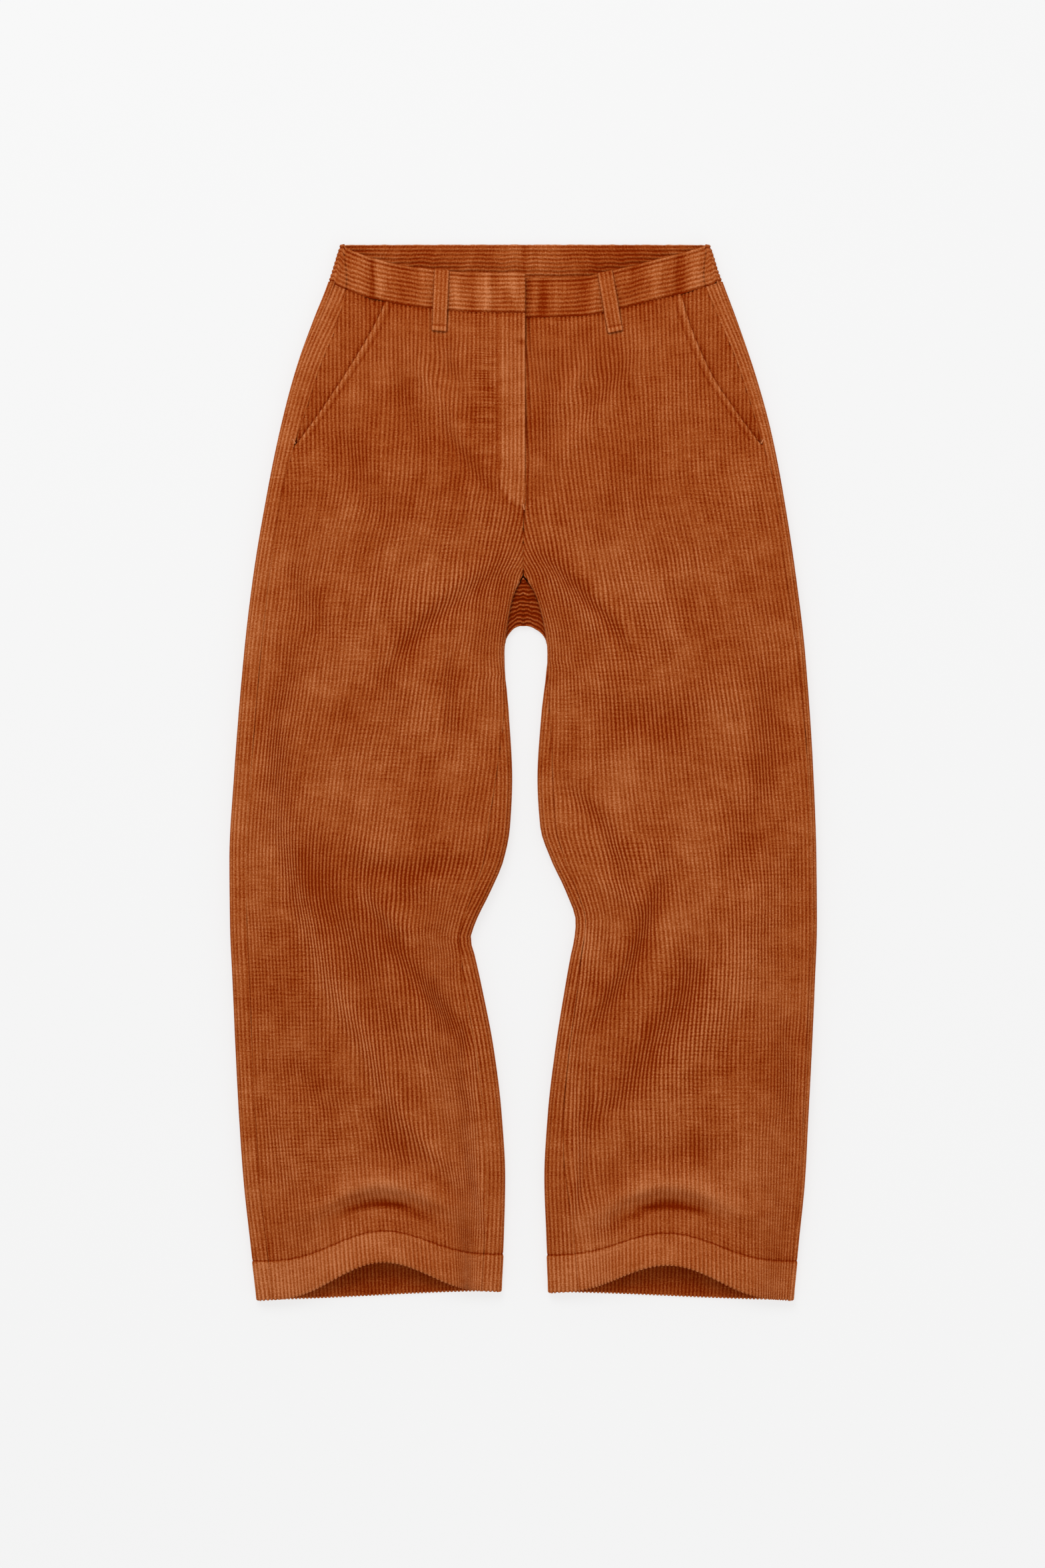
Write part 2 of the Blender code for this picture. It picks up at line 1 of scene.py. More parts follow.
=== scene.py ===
"""Looks of the corduroy trousers, laid flat with the front up: ribbed panels, waistband,
belt loops, pocket facings and bar tacks, on a pale floor under soft light.

The form works in millimetres. "Across" is the distance from the centre line towards that
half's side seam and "level" the height up the garment, so one form makes both halves.
Every panel is a grid whose columns follow the wales, four to a wale, so the ribs are
real; the columns stop where a seam crosses them.
"""

from __future__ import annotations

import logging
import math
from dataclasses import dataclass
from enum import Enum
from typing import Callable, Iterable, NamedTuple, Optional, Sequence

import bpy
import numpy as np
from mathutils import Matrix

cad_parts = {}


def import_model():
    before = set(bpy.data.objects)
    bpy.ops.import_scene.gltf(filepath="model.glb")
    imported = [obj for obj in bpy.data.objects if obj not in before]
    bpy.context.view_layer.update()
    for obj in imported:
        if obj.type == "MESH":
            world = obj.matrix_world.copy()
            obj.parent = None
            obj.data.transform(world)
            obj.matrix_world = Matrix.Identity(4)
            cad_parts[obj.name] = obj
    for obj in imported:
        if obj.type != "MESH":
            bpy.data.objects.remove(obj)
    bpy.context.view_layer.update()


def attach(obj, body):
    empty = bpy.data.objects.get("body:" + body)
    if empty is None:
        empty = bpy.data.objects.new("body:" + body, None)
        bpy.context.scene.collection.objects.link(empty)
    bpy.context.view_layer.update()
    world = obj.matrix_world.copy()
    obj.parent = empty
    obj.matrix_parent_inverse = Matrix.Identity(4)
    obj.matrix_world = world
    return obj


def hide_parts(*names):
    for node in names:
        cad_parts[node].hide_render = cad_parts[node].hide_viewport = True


LOG = logging.getLogger("corduroy_trousers")
Array = np.ndarray
Curve = Callable[[object], Array]

MM = 0.001
PITCH = 3.72               # one wale
RIB = 0.92                 # height of a wale's crest over its groove
WALL = 1.0                # cloth beneath the ribs
GAP = 0.4
SEAM = 0.04                # between sewn edges
CLOTH = 1.6
BAND_CLOTH = 3.0
LOOP_CLOTH = 1.8
WAIST_LEVEL = 442.0
BAND_TOP = 476.0
HEM_LEVEL = -476.0
HEM_DEPTH = 36.0
FOLD_RADIUS = CLOTH + GAP / 2
CROTCH_LEVEL = 177.0
ARCH_FOOT = 112.0
ARCH_RISE = 20.0
ARCH_RADIUS = 3.1
SEAT_FOOT = 150.0
POCKET_FOOT = 296.0
FACING_UNDER = 26.0
FLY_LEVEL = 239.0
FLY_WIDTH = 22.0
FLY_DEPTH = 41.0
FLY_LAP = 1.8
FLY_UNDER = 7.0
LOOP_WIDTH = 13.8
LOOP_FOOT = 420.0
BACK_LIFT = LOOP_CLOTH + GAP


class Side(Enum):
    """The wearer's side, and the sign of its X."""

    RIGHT = -1
    LEFT = 1

    @property
    def word(self) -> str:
        """The side's name as the nodes spell it."""
        return self.name.lower()


class Pair(NamedTuple):
    """A distance or level on each side, at a level."""

    level: float
    right: float
    left: float


class Height(NamedTuple):
    """Height of the top at its outer and inner end, and the loft halfway."""

    level: float
    outer: float
    inner: float
    middle: float


class Inset(NamedTuple):
    """How far inside the edge each seam lies; under zero, round the fold below."""

    level: float
    right_side: float
    right_inseam: float
    left_side: float
    left_inseam: float


class Grain(NamedTuple):
    """Where one wale of each front runs, and how closely its neighbours follow."""

    level: float
    right: float
    right_outer: float
    right_inner: float
    left: float
    left_outer: float
    left_inner: float


class Crease(NamedTuple):
    """A soft fold, all but straight: a trough under zero, a ridge over it."""

    side: Side
    across: float
    level: float
    to_across: float
    to_level: float
    width: float
    height: float


class Ripple(NamedTuple):
    """A buckle up the front waistband."""

    side: Side
    across: float
    lean: float
    width: float
    height: float


class Crossed(NamedTuple):
    """A patch where fine lines cross the wales."""

    side: Side
    across: float
    level: float
    wide: float
    high: float
    amount: float


class Guide(NamedTuple):
    """The wales of a front that keep to its inseam and its side seam."""

    inseam: float
    side_seam: float


class Hump(NamedTuple):
    """The hem's arch."""

    centre: float
    half_width: float
    rise: float
    inner_tilt: float


OUTER_EDGE = (
    Pair(476, 165.0, 168.0), Pair(442, 175.5, 179.5), Pair(407, 189.0, 192.5),
    Pair(364, 204.5, 207.5), Pair(306, 219.5, 223.5), Pair(249, 231.0, 234.5),
    Pair(177, 243.0, 245.5), Pair(105, 251.5, 254.0), Pair(-6, 260.5, 261.5),
    Pair(-78, 264.5, 264.0), Pair(-135, 264.0, 264.5), Pair(-193, 261.5, 262.5),
    Pair(-250, 259.0, 260.0), Pair(-308, 256.0, 257.0), Pair(-366, 252.0, 254.0),
    Pair(-423, 246.0, 248.5), Pair(-476, 240.0, 243.5),
)
INNER_EDGE = (
    Pair(177, -1.8, -1.8), Pair(172, 2.5, 3.5), Pair(163, 7.5, 10.0),
    Pair(150, 11.5, 14.8), Pair(124, 15.6, 20.5), Pair(105, 17.0, 22.0),
    Pair(52, 13.0, 16.5), Pair(-6, 10.0, 13.0), Pair(-49, 12.0, 15.5),
    Pair(-78, 17.5, 25.0), Pair(-107, 29.5, 38.5), Pair(-135, 43.0, 47.5),
    Pair(-150, 47.5, 46.2), Pair(-164, 44.0, 43.2), Pair(-193, 37.5, 38.0),
    Pair(-250, 26.5, 29.0), Pair(-308, 19.5, 22.3), Pair(-366, 16.3, 19.2),
    Pair(-423, 17.5, 21.0), Pair(-476, 20.0, 23.0),
)
HEIGHTS = (
    Height(476, 12.5, 17.0, 2.0), Height(442, 13.5, 17.5, 2.0), Height(411, 14.5, 17.5, 2.5),
    Height(364, 15.5, 17.5, 3.0), Height(300, 17.0, 17.5, 3.0), Height(249, 18.0, 17.0, 3.0),
    Height(177, 18.5, 15.0, 2.0), Height(140, 19.0, 14.5, 1.5), Height(105, 19.0, 14.0, 1.0),
    Height(52, 19.0, 14.0, 0.0), Height(-6, 19.0, 15.0, -1.0), Height(-78, 18.5, 16.0, 0.0),
    Height(-150, 18.0, 16.0, 1.0), Height(-250, 17.5, 16.0, -1.0), Height(-366, 16.0, 14.5, -1.0),
    Height(-423, 13.0, 12.0, 0.0), Height(-476, 10.5, 10.5, 0.0),
)
SEAM_INSETS = (
    Inset(476, 3.0, 2.0, 3.0, 2.0), Inset(442, 16.0, 2.0, 15.0, 2.0),
    Inset(388, 21.0, 2.0, 13.5, 2.0), Inset(336, 20.5, 2.0, 12.5, 2.0),
    Inset(301, 17.0, 2.0, 11.0, 2.0), Inset(255, 14.0, 2.0, 6.5, 2.0),
    Inset(177, 15.0, 2.0, 9.0, 2.0), Inset(165, 15.0, -2.7, 9.0, -2.7),
    Inset(150, 15.5, -3.6, 8.5, -3.6), Inset(124, 15.5, -2.6, 7.5, -2.6),
    Inset(112, 15.5, -1.2, 6.5, -1.2), Inset(84, 15.5, 0.2, 6.0, 1.5),
    Inset(52, 15.5, 4.0, 5.5, 7.5), Inset(23, 15.5, 9.6, 5.0, 11.5),
    Inset(-13, 15.5, 15.5, 5.0, 14.0), Inset(-49, 15.5, 19.0, 5.0, 14.0),
    Inset(-107, 15.5, 15.0, 5.0, 10.0), Inset(-150, 15.5, 10.0, 5.0, 8.5),
    Inset(-193, 15.5, 16.0, 5.0, 11.0), Inset(-308, 15.0, 16.0, 4.5, 14.0),
    Inset(-430, 15.0, 17.0, 4.5, 25.0), Inset(-476, 14.0, 17.0, 4.5, 27.0),
)
ROLL_RADIUS = ((177, 2.0), (165, 3.2), (150, 4.0), (135, 4.3), (124, 5.0), (118, 6.0), (112, 7.0))
BACK_CROTCH_HEIGHT = (
    (177, 12.9), (172, 10.8), (165, 8.5), (150, 6.7), (138, 6.4), (125, 5.8), (118, 5.5),
    (112, 5.5),
)
POCKET_MOUTH = (
    Pair(442, 124.0, 142.0), Pair(413, 136.0, 150.0), Pair(357, 162.5, 171.0),
    Pair(331, 178.0, 187.0), Pair(POCKET_FOOT, 203.0, 212.5),
)
WAIST_SEAM = (
    Pair(0.0, 413.0, 408.5), Pair(0.28, 414.0, 410.0), Pair(0.57, 419.0, 420.5),
    Pair(0.80, 427.5, 431.0), Pair(0.92, 435.0, 437.0), Pair(1.0, 442.0, 442.0),
)
HEM_LIFT = ((0, 1.0), (36, 0.75), (62, 0.62), (92, 0.3), (130, 0.08), (180, 0.0))
BUNCHED = (
    (10, 0.0), (70, 8.0), (125, 16.0), (177, 16.0), (190, 10.5), (205, 5.5), (225, 1.8), (248, 0.0),
)
GRAIN = (
    Grain(442, 87, 1.0, 1.0, 105, 1.0, 1.0), Grain(275, 87, 1.0, 1.0, 111, 1.0, 1.0),
    Grain(179, 100.8, 0.99, 1.03, 126.6, 1.02, 1.03), Grain(83, 114, 0.955, 0.975, 142.8, 1.0, 1.0),
    Grain(-13, 128.4, 0.92, 1.08, 153, 1.03, 1.05), Grain(-109, 138.5, 0.83, 1.06, 164.4, 0.96, 0.98),
    Grain(-145, 136, 0.82, 0.95, 166.2, 0.95, 0.945), Grain(-181, 132, 0.84, 0.96, 167, 0.93, 1.0),
    Grain(-277, 123, 0.9, 1.04, 161.5, 0.99, 1.04), Grain(-373, 112.2, 0.955, 1.03, 162, 0.94, 1.08),
    Grain(-476, 104, 1.0, 0.96, 162, 0.97, 1.07),
)
CREASES = (
    Crease(Side.RIGHT, 103, 398, 50, 296, 6.5, 1.6), Crease(Side.RIGHT, 112, 372, 84, 292, 10, -1.6),
    Crease(Side.RIGHT, 66, 402, 56, 352, 6, -1.3), Crease(Side.RIGHT, 72, 316, 22, 250, 6, -1.6),
    Crease(Side.RIGHT, 162, 312, 116, 226, 12, -1.9), Crease(Side.RIGHT, 150, 152, 58, 170, 16, 1.5),
    Crease(Side.RIGHT, 60, 166, 8, 196, 9, 1.3), Crease(Side.RIGHT, 26, 178, 122, 96, 8, -2.6),
    Crease(Side.RIGHT, 120, 100, 112, 30, 10, -1.1), Crease(Side.RIGHT, 64, 112, 60, 20, 7, -1.3),
    Crease(Side.RIGHT, 90, 100, 86, 40, 8, 0.8), Crease(Side.RIGHT, 206, 110, 214, -34, 10, -1.3),
    Crease(Side.RIGHT, 212, 186, 166, 118, 9, -1.5), Crease(Side.RIGHT, 228, 60, 214, -70, 9, 1.2),
    Crease(Side.RIGHT, 216, -60, 136, -256, 8, 2.5), Crease(Side.RIGHT, 150, -232, 58, -372, 7, 2.2),
    Crease(Side.RIGHT, 206, -52, 134, -178, 15, -2.2), Crease(Side.RIGHT, 150, -150, 96, -268, 15, -1.6),
    Crease(Side.RIGHT, 154, -86, 44, -80, 7, -2.4), Crease(Side.RIGHT, 156, -66, 122, -64, 9, 1.8),
    Crease(Side.RIGHT, 148, -106, 84, -150, 5.5, 2.0), Crease(Side.RIGHT, 120, -100, 72, -122, 11, -1.6),
    Crease(Side.RIGHT, 142, -100, 46, -246, 8, -2.4),
    Crease(Side.RIGHT, 90, -196, 66, -292, 14, 1.2), Crease(Side.RIGHT, 136, -306, 98, -356, 10, -1.9),
    Crease(Side.RIGHT, 204, -262, 166, -306, 10, -1.3), Crease(Side.RIGHT, 222, -300, 204, -380, 9, 1.2),
    Crease(Side.RIGHT, 36, -210, 30, -440, 4.5, 1.6), Crease(Side.RIGHT, 48, -200, 42, -400, 4, -0.8),
    Crease(Side.LEFT, 64, 396, 18, 312, 7, 1.6), Crease(Side.LEFT, 98, 390, 34, 300, 9, -1.2),
    Crease(Side.LEFT, 112, 404, 10, 262, 11, 1.5), Crease(Side.LEFT, 16, 398, 14, 262, 9, -1.3),
    Crease(Side.LEFT, 150, 384, 120, 318, 13, 1.0), Crease(Side.LEFT, 124, 300, 66, 214, 18, -1.1),
    Crease(Side.LEFT, 226, 268, 196, 236, 12, 1.3), Crease(Side.LEFT, 6, 197, 78, 106, 5.5, 2.2),
    Crease(Side.LEFT, 18, 194, 98, 104, 5.5, -2.4), Crease(Side.LEFT, 92, 184, 134, 104, 13, 1.4),
    Crease(Side.LEFT, 150, 200, 134, 168, 12, 1.0), Crease(Side.LEFT, 52, 86, 96, 74, 12, 1.3),
    Crease(Side.LEFT, 72, 44, 156, 40, 15, -1.6), Crease(Side.LEFT, 150, 74, 196, 58, 12, 1.2),
    Crease(Side.LEFT, 216, 96, 210, -40, 11, -1.5), Crease(Side.LEFT, 70, -66, 100, -108, 9, -1.5),
    Crease(Side.LEFT, 34, -10, 92, -78, 8, -2.1), Crease(Side.LEFT, 126, -94, 60, -230, 8, -2.5),
    Crease(Side.LEFT, 60, -94, 108, -122, 6, 1.9), Crease(Side.LEFT, 124, -62, 116, -92, 9, 1.2),
    Crease(Side.LEFT, 192, -20, 186, -96, 10, -1.2), Crease(Side.LEFT, 228, -80, 118, -296, 17, 2.0),
    Crease(Side.LEFT, 158, -160, 112, -254, 12, -2.7), Crease(Side.LEFT, 116, -246, 60, -318, 11, -2.0),
    Crease(Side.LEFT, 54, -120, 44, -240, 5, 1.2), Crease(Side.LEFT, 40, -236, 36, -444, 4.5, 1.6),
    Crease(Side.LEFT, 50, -220, 48, -410, 4, -0.8), Crease(Side.LEFT, 230, -226, 236, -320, 9, -1.3),
    Crease(Side.LEFT, 92, -352, 184, -344, 11, -1.6), Crease(Side.LEFT, 84, -396, 64, -414, 8, 1.4),
    Crease(Side.LEFT, 74, -150, 66, -196, 7, -1.0),
)
RIPPLES = (
    Ripple(Side.RIGHT, 135.0, 2.0, 1.8, -2.2), Ripple(Side.RIGHT, 127.0, 2.0, 5.0, 1.3),
    Ripple(Side.RIGHT, 148.0, 1.0, 6.0, 0.9), Ripple(Side.RIGHT, 106.0, 0.0, 8.0, -0.8),
    Ripple(Side.RIGHT, 88.0, 2.0, 5.0, 0.6), Ripple(Side.RIGHT, 60.0, 0.0, 5.0, 0.8),
    Ripple(Side.RIGHT, 44.0, 6.0, 3.6, -1.5), Ripple(Side.RIGHT, 34.0, -4.0, 3.5, 1.2),
    Ripple(Side.RIGHT, 25.0, 2.0, 2.6, -1.0), Ripple(Side.RIGHT, 10.0, 0.0, 5.0, 0.6),
    Ripple(Side.LEFT, 10.0, 0.0, 3.0, 0.7), Ripple(Side.LEFT, 19.0, -3.0, 3.2, -1.2),
    Ripple(Side.LEFT, 30.0, 1.0, 4.0, 0.9), Ripple(Side.LEFT, 52.0, 3.0, 6.0, -1.0),
    Ripple(Side.LEFT, 102.0, 0.0, 7.0, -0.7), Ripple(Side.LEFT, 120.0, 0.0, 7.0, 1.1),
    Ripple(Side.LEFT, 140.0, 2.0, 5.5, -2.2), Ripple(Side.LEFT, 155.0, 0.0, 5.0, 1.2),
)
CROSSED = (
    Crossed(Side.RIGHT, 36, 350, 13, 62, 1.0), Crossed(Side.RIGHT, 60, 215, 70, 30, 0.45),
    Crossed(Side.RIGHT, 130, 130, 60, 40, 0.5), Crossed(Side.RIGHT, 195, 265, 30, 40, 0.5),
    Crossed(Side.RIGHT, 215, -190, 42, 90, 0.75), Crossed(Side.RIGHT, 110, 20, 60, 50, 0.4),
    Crossed(Side.RIGHT, 190, -330, 60, 60, 0.6), Crossed(Side.RIGHT, 70, -90, 40, 25, 0.4),
    Crossed(Side.LEFT, 190, 250, 40, 50, 0.6), Crossed(Side.LEFT, 120, 130, 60, 50, 0.55),
    Crossed(Side.LEFT, 60, 60, 50, 60, 0.5), Crossed(Side.LEFT, 160, -260, 60, 90, 0.7),
    Crossed(Side.LEFT, 110, -70, 50, 30, 0.55), Crossed(Side.LEFT, 130, 360, 30, 40, 0.4),
    Crossed(Side.LEFT, 210, -80, 40, 90, 0.5),
)
GUIDES = {
    Side.RIGHT: Guide(100.0, -134.0),
    Side.LEFT: Guide(122.0, -108.0),
}
HUMPS = {
    Side.RIGHT: Hump(128.0, 52.0, 33.0, 8.0),
    Side.LEFT: Hump(132.0, 54.0, 31.0, 7.0),
}


@dataclass(frozen=True)
class PileFinish:
    """Colours and nap of the corduroy, in linear light."""

    # The groove colour is darkened with painted shade in the grooves, over the pile's own darker tone
    # there.
    groove: tuple[float, float, float] = (0.2, 0.014, 0.0)
    deep: tuple[float, float, float] = (0.325, 0.058, 0.008)
    main: tuple[float, float, float] = (0.412, 0.104, 0.024)
    bright: tuple[float, float, float] = (0.615, 0.219, 0.086)
    roughness: float = 0.92
    sheen: float = 0.02
    sheen_tint: tuple[float, float, float] = (1.0, 0.4, 0.15)


def smoothstep(value: object, low: object, high: object) -> Array:
    """0 up to low, 1 from high, and an even S between them."""
    t = np.clip((np.asarray(value, float) - low) / (np.asarray(high, float) - low), 0, 1)
    return t * t * (3 - 2 * t)


def bell(value: object, width: float) -> Array:
    """1 at nought, falling away evenly to both sides over the width."""
    return np.exp(-((np.asarray(value, float) / width) ** 2))


def through(pairs: Iterable[Sequence[float]]) -> Curve:
    """A smooth curve through points that never swings past them.

    Args:
        pairs: places and values, in any order.

    Returns:
        A function from places to values, level beyond both ends.
    """
    x, y = np.array(sorted(pairs), float).T
    width = np.diff(x)
    slope = np.diff(y) / width
    tangent = np.zeros(len(x))
    tangent[0], tangent[-1] = slope[0], slope[-1]
    for i in range(1, len(x) - 1):
        if slope[i - 1] * slope[i] > 0:
            tangent[i] = 2 / (1 / slope[i - 1] + 1 / slope[i])

    def at(place: object) -> Array:
        """The curve's value at a place.

        Args:
            place: where to read it.

        Returns:
            The value.
        """
        p = np.clip(np.asarray(place, float), x[0], x[-1])
        i = np.clip(np.searchsorted(x, p, side="right") - 1, 0, len(x) - 2)
        t = (p - x[i]) / width[i]
        ends = (1 + 2 * t) * (1 - t) ** 2 * y[i] + t * t * (3 - 2 * t) * y[i + 1]
        bends = t * (1 - t) ** 2 * tangent[i] + t * t * (t - 1) * tangent[i + 1]
        return ends + width[i] * bends

    return at


def column(rows: Sequence[NamedTuple], name: str) -> Curve:
    """The named column of a table, as a curve of its levels."""
    return through([(row[0], getattr(row, name)) for row in rows])


def unit(vectors: Array) -> Array:
    """The vectors at length one."""
    return vectors / np.maximum(np.linalg.norm(vectors, axis=-1, keepdims=True), 1e-9)


def waver(x: object, seed: float = 0.0) -> Array:
    """An uneven wave about nought, about two pi long, the same on every run.

    Args:
        x: places, in radians.
        seed: another seed gives another wave.

    Returns:
        Values within 1 of nought.
    """
    x = np.asarray(x, float)
    total = np.sin(x + seed) + 0.6 * np.sin(1.73 * x + 2.1 * seed + 1.3)
    return (total + 0.4 * np.sin(2.91 * x + 3.7 * seed + 0.4)) / 2.0


roll_radius = through(ROLL_RADIUS)
back_crotch_height = through(BACK_CROTCH_HEIGHT)
hem_lift = through(HEM_LIFT)
bunched = through(BUNCHED)


def back_lift(level: object) -> Array:
    """How far the belt loops hold the back of the waist off the floor."""
    return BACK_LIFT * smoothstep(level, 388, 410)


class Form:
    """The laid shape of one half of the trousers."""

    def __init__(self, side: Side) -> None:
        """Reads the tables of one side.

        Args:
            side: the wearer's right or left.
        """
        self.side = side
        word = side.word
        self.outer = column(OUTER_EDGE, word)
        self.inner = column(INNER_EDGE, word)
        self.outer_height = column(HEIGHTS, "outer")
        self.inner_height = column(HEIGHTS, "inner")
        self.middle = column(HEIGHTS, "middle")
        self.side_inset = column(SEAM_INSETS, word + "_side")
        self.inseam_inset = column(SEAM_INSETS, word + "_inseam")
        self.mouth = column(POCKET_MOUTH, word)
        self.waist_seam = column(WAIST_SEAM, word)
        self.grain = column(GRAIN, word)
        self.grain_outer = column(GRAIN, word + "_outer")
        self.grain_inner = column(GRAIN, word + "_inner")
        self.hump = HUMPS[side]

    def outer_radius(self, level: Array) -> Array:
        """Radius of the roll at the outer edge."""
        return (self.outer_height(level) - back_lift(level)) / 2

    def inner_radius(self, level: Array) -> Array:
        """Radius of the front's roll at the inner edge."""
        return np.where(level < ARCH_FOOT, self.inner_height(level) / 2, roll_radius(level))

    def top_start(self, level: Array) -> Array:
        """Where the top leaves the inner roll or, above the crotch, past the centre."""
        roll = self.inner(level) + self.inner_radius(level)
        return np.where(level > CROTCH_LEVEL, -12.0, roll)

    def top_end(self, level: Array) -> Array:
        """Where the top meets the outer roll."""
        return self.outer(level) - self.outer_radius(level)

    def hump_shape(self, across: Array, narrow: float = 1.0) -> Array:
        """How much of the hem's arch there is at a distance across."""
        t = 1.25 * narrow * (across - self.hump.centre) / self.hump.half_width
        return np.exp(-0.5 * t * t * (1 + 0.1 * t * t))

    def tilt(self, across: Array, level: Array) -> Array:
        """The hem rises a little from the outer to the inner edge."""
        share = 1 - smoothstep(across, 20, 245)
        return self.hump.inner_tilt * share * hem_lift(level - HEM_LEVEL)

    def shift(self, across: Array, level: Array) -> Array:
        """How far up the top's cloth lies from its level.

        Args:
            across: distances from the centre line.
            level: levels.

        Returns:
            Millimetres up the garment.
        """
        hump = self.hump.rise * self.hump_shape(across) * hem_lift(level - HEM_LEVEL)
        share = np.clip(across / self.outer(level), 0, 1)
        dip = (self.waist_seam(share) - WAIST_LEVEL) * smoothstep(level, 325, WAIST_LEVEL)
        lean = 0.06 * (1 - share) * np.maximum(level - WAIST_LEVEL, 0)
        return hump + dip + lean

    def each_crease(self, across: Array, level: Array) -> Iterable[tuple[Crease, float, Array, Array]]:
        """Every crease of this half at a place.

        Args:
            across: distances from the centre line.
            level: levels.

        Yields:
            The crease, how far its line leans up the garment, the distance off its line
            in widths, and how much of it there is along the line.
        """
        for c in CREASES:
            if c.side is not self.side:
                continue
            reach = np.array([c.to_across - c.across, c.to_level - c.level], float)
            length = np.hypot(*reach)
            way = reach / length
            dx, dy = across - c.across, level - c.level
            t = (dx * way[0] + dy * way[1]) / length
            bend = 0.05 * length * np.sin(math.pi * np.clip(t, 0, 1))
            bend = bend + 1.6 * waver(dy / 19.0, c.across)
            off = (dx * way[1] - dy * way[0] + bend) / c.width
            yield c, float(way[1]), off, np.exp(-((2.0 * (t - 0.5)) ** 4))

    def creases(self, across: Array, level: Array) -> Array:
        """Height added by the creases.

        Args:
            across: distances from the centre line.
            level: levels.

        Returns:
            Millimetres, under zero in a trough.
        """
        total = 0 * across
        for c, _, off, there in self.each_crease(across, level):
            total = total + c.height * there * np.exp(-off * off)
        return total

    def drawn(self, across: Array, level: Array) -> Array:
        """How far across the creases draw the wales together.

        Args:
            across: distances from the centre line.
            level: levels.

        Returns:
            Millimetres across, towards each crease.
        """
        total = 0 * across
        for c, lean, off, there in self.each_crease(across, level):
            pull = 1.35 if c.height < 0 else 0.9
            total = total - pull * abs(c.height) * there * off * np.exp(-((off / 1.9) ** 2)) * lean
        return total

    def crisp(self, across: Array, level: Array) -> Array:
        """How plainly the wales stand out: fully along a crease and down the inseam.

        Args:
            across: distances from the centre line.
            level: levels.

        Returns:
            0 where the pile is brushed over, up to 1.
        """
        total = 0 * across
        for c, _, off, there in self.each_crease(across, level):
            total = total + 0.42 * abs(c.height) * there * np.exp(-((off / 1.6) ** 2))
        total = total * (1 - 0.6 * smoothstep(level, 175, 260))
        fork = smoothstep(level, 40, 110) * (1 - smoothstep(level, 215, 262)) * bell(across - 16, 34)
        knee = bell(level + 165, 110) * bell(across - self.inner(level), 22)
        return np.clip(total + 0.6 * fork + 0.6 * knee, 0, 1)

    def pinch(self, across: Array, level: Array) -> Array:
        """How much of the buckle over the hem's arch there is.

        Args:
            across: distances from the centre line.
            level: levels.

        Returns:
            From 0 to 1.
        """
        inward = (self.hump.centre - across) / self.hump.half_width
        skew = 15.0 * smoothstep(inward, 0.0, 1.3) + 9.0 * smoothstep(-inward, 0.1, 1.3)
        spread = np.where(inward > 0, 1.05, 1.35)
        return bell(level - HEM_LEVEL - 67 + skew, 4.3) * self.hump_shape(across, 1.0) ** (spread * 2.6)

    def hem_ridge(self, across: Array, level: Array) -> Array:
        """How much of the fuller fold over the buckle there is.

        Args:
            across: distances from the centre line.
            level: levels.

        Returns:
            From 0 to 1.
        """
        inward = np.abs(self.hump.centre - across) / self.hump.half_width
        above = level - HEM_LEVEL - 98 + 22 * smoothstep(inward, 0.0, 1.6)
        return bell(above, 13) * self.hump_shape(across) ** 0.7

    def folds(self, across: Array, level: Array) -> Array:
        """Height added by creases, the hem's arch and buckle, and loose unevenness.

        Args:
            across: distances from the centre line.
            level: levels.

        Returns:
            Millimetres over the smooth form.
        """
        arch = 17 * bell(level - HEM_LEVEL, 34) * self.hump_shape(across)
        buckle = 9.0 * self.hem_ridge(across, level) - 5.0 * self.pinch(across, level)
        loose = 0.45 * waver(across / 17 + level / 60, 1.7) * waver(level / 29, self.side.value)
        loose = loose + 0.28 * waver(across / 9.0 - level / 35, 0.6) * waver(level / 14, 2.2)
        near_waist = bell(level - WAIST_LEVEL + 3, 22) * (level < WAIST_LEVEL)
        gathers = 0.4 * near_waist * waver(across / 4.6, 0.9)
        return 1.05 * self.creases(across, level) + arch + buckle + loose + gathers

    def painted_relief_shade(self, across: Array, level: Array) -> Array:
        """Painted highlights on the folds' ridges and painted shade in their troughs and in the hem's
        buckle.

        Args:
            across: distances from the centre line.
            level: levels.

        Returns:
            Shade, over zero where it is light.
        """
        tone = 0 * across
        for c, _, off, there in self.each_crease(across, level):
            much = 0.12 if c.height > 0 else 0.15
            tone = tone + much * c.height * there * np.exp(-((off / 1.5) ** 2))
        tone = tone + 0.5 * self.hem_ridge(across, level) - 2.0 * self.pinch(across, level)
        return tone + 0.2 * waver(across / 17 + level / 60, 1.7) * waver(level / 29, self.side.value)

    def crossed(self, across: Array, level: Array) -> Array:
        """How strongly lines cross the wales, from long folding and pressing.

        Args:
            across: distances from the centre line.
            level: levels.

        Returns:
            A strength, 0.12 away from the patches.
        """
        total = 0.12 + 0 * across
        for patch in CROSSED:
            if patch.side is self.side:
                aside = (across - patch.across) / patch.wide
                above = (level - patch.level) / patch.high
                total = total + patch.amount * np.exp(-(aside**2 + above**2))
        return total

    def ripples(self, across: Array, level: Array) -> Array:
        """Height added by the waistband's buckles.

        Args:
            across: distances from the centre line.
            level: levels.

        Returns:
            Millimetres.
        """
        total = 0 * across
        t = (level - WAIST_LEVEL) / (BAND_TOP - WAIST_LEVEL)
        for r in RIPPLES:
            if r.side is self.side:
                total = total + r.height * bell(across - r.across - r.lean * t, r.width)
        return total * smoothstep(t, -0.25, 0.1)

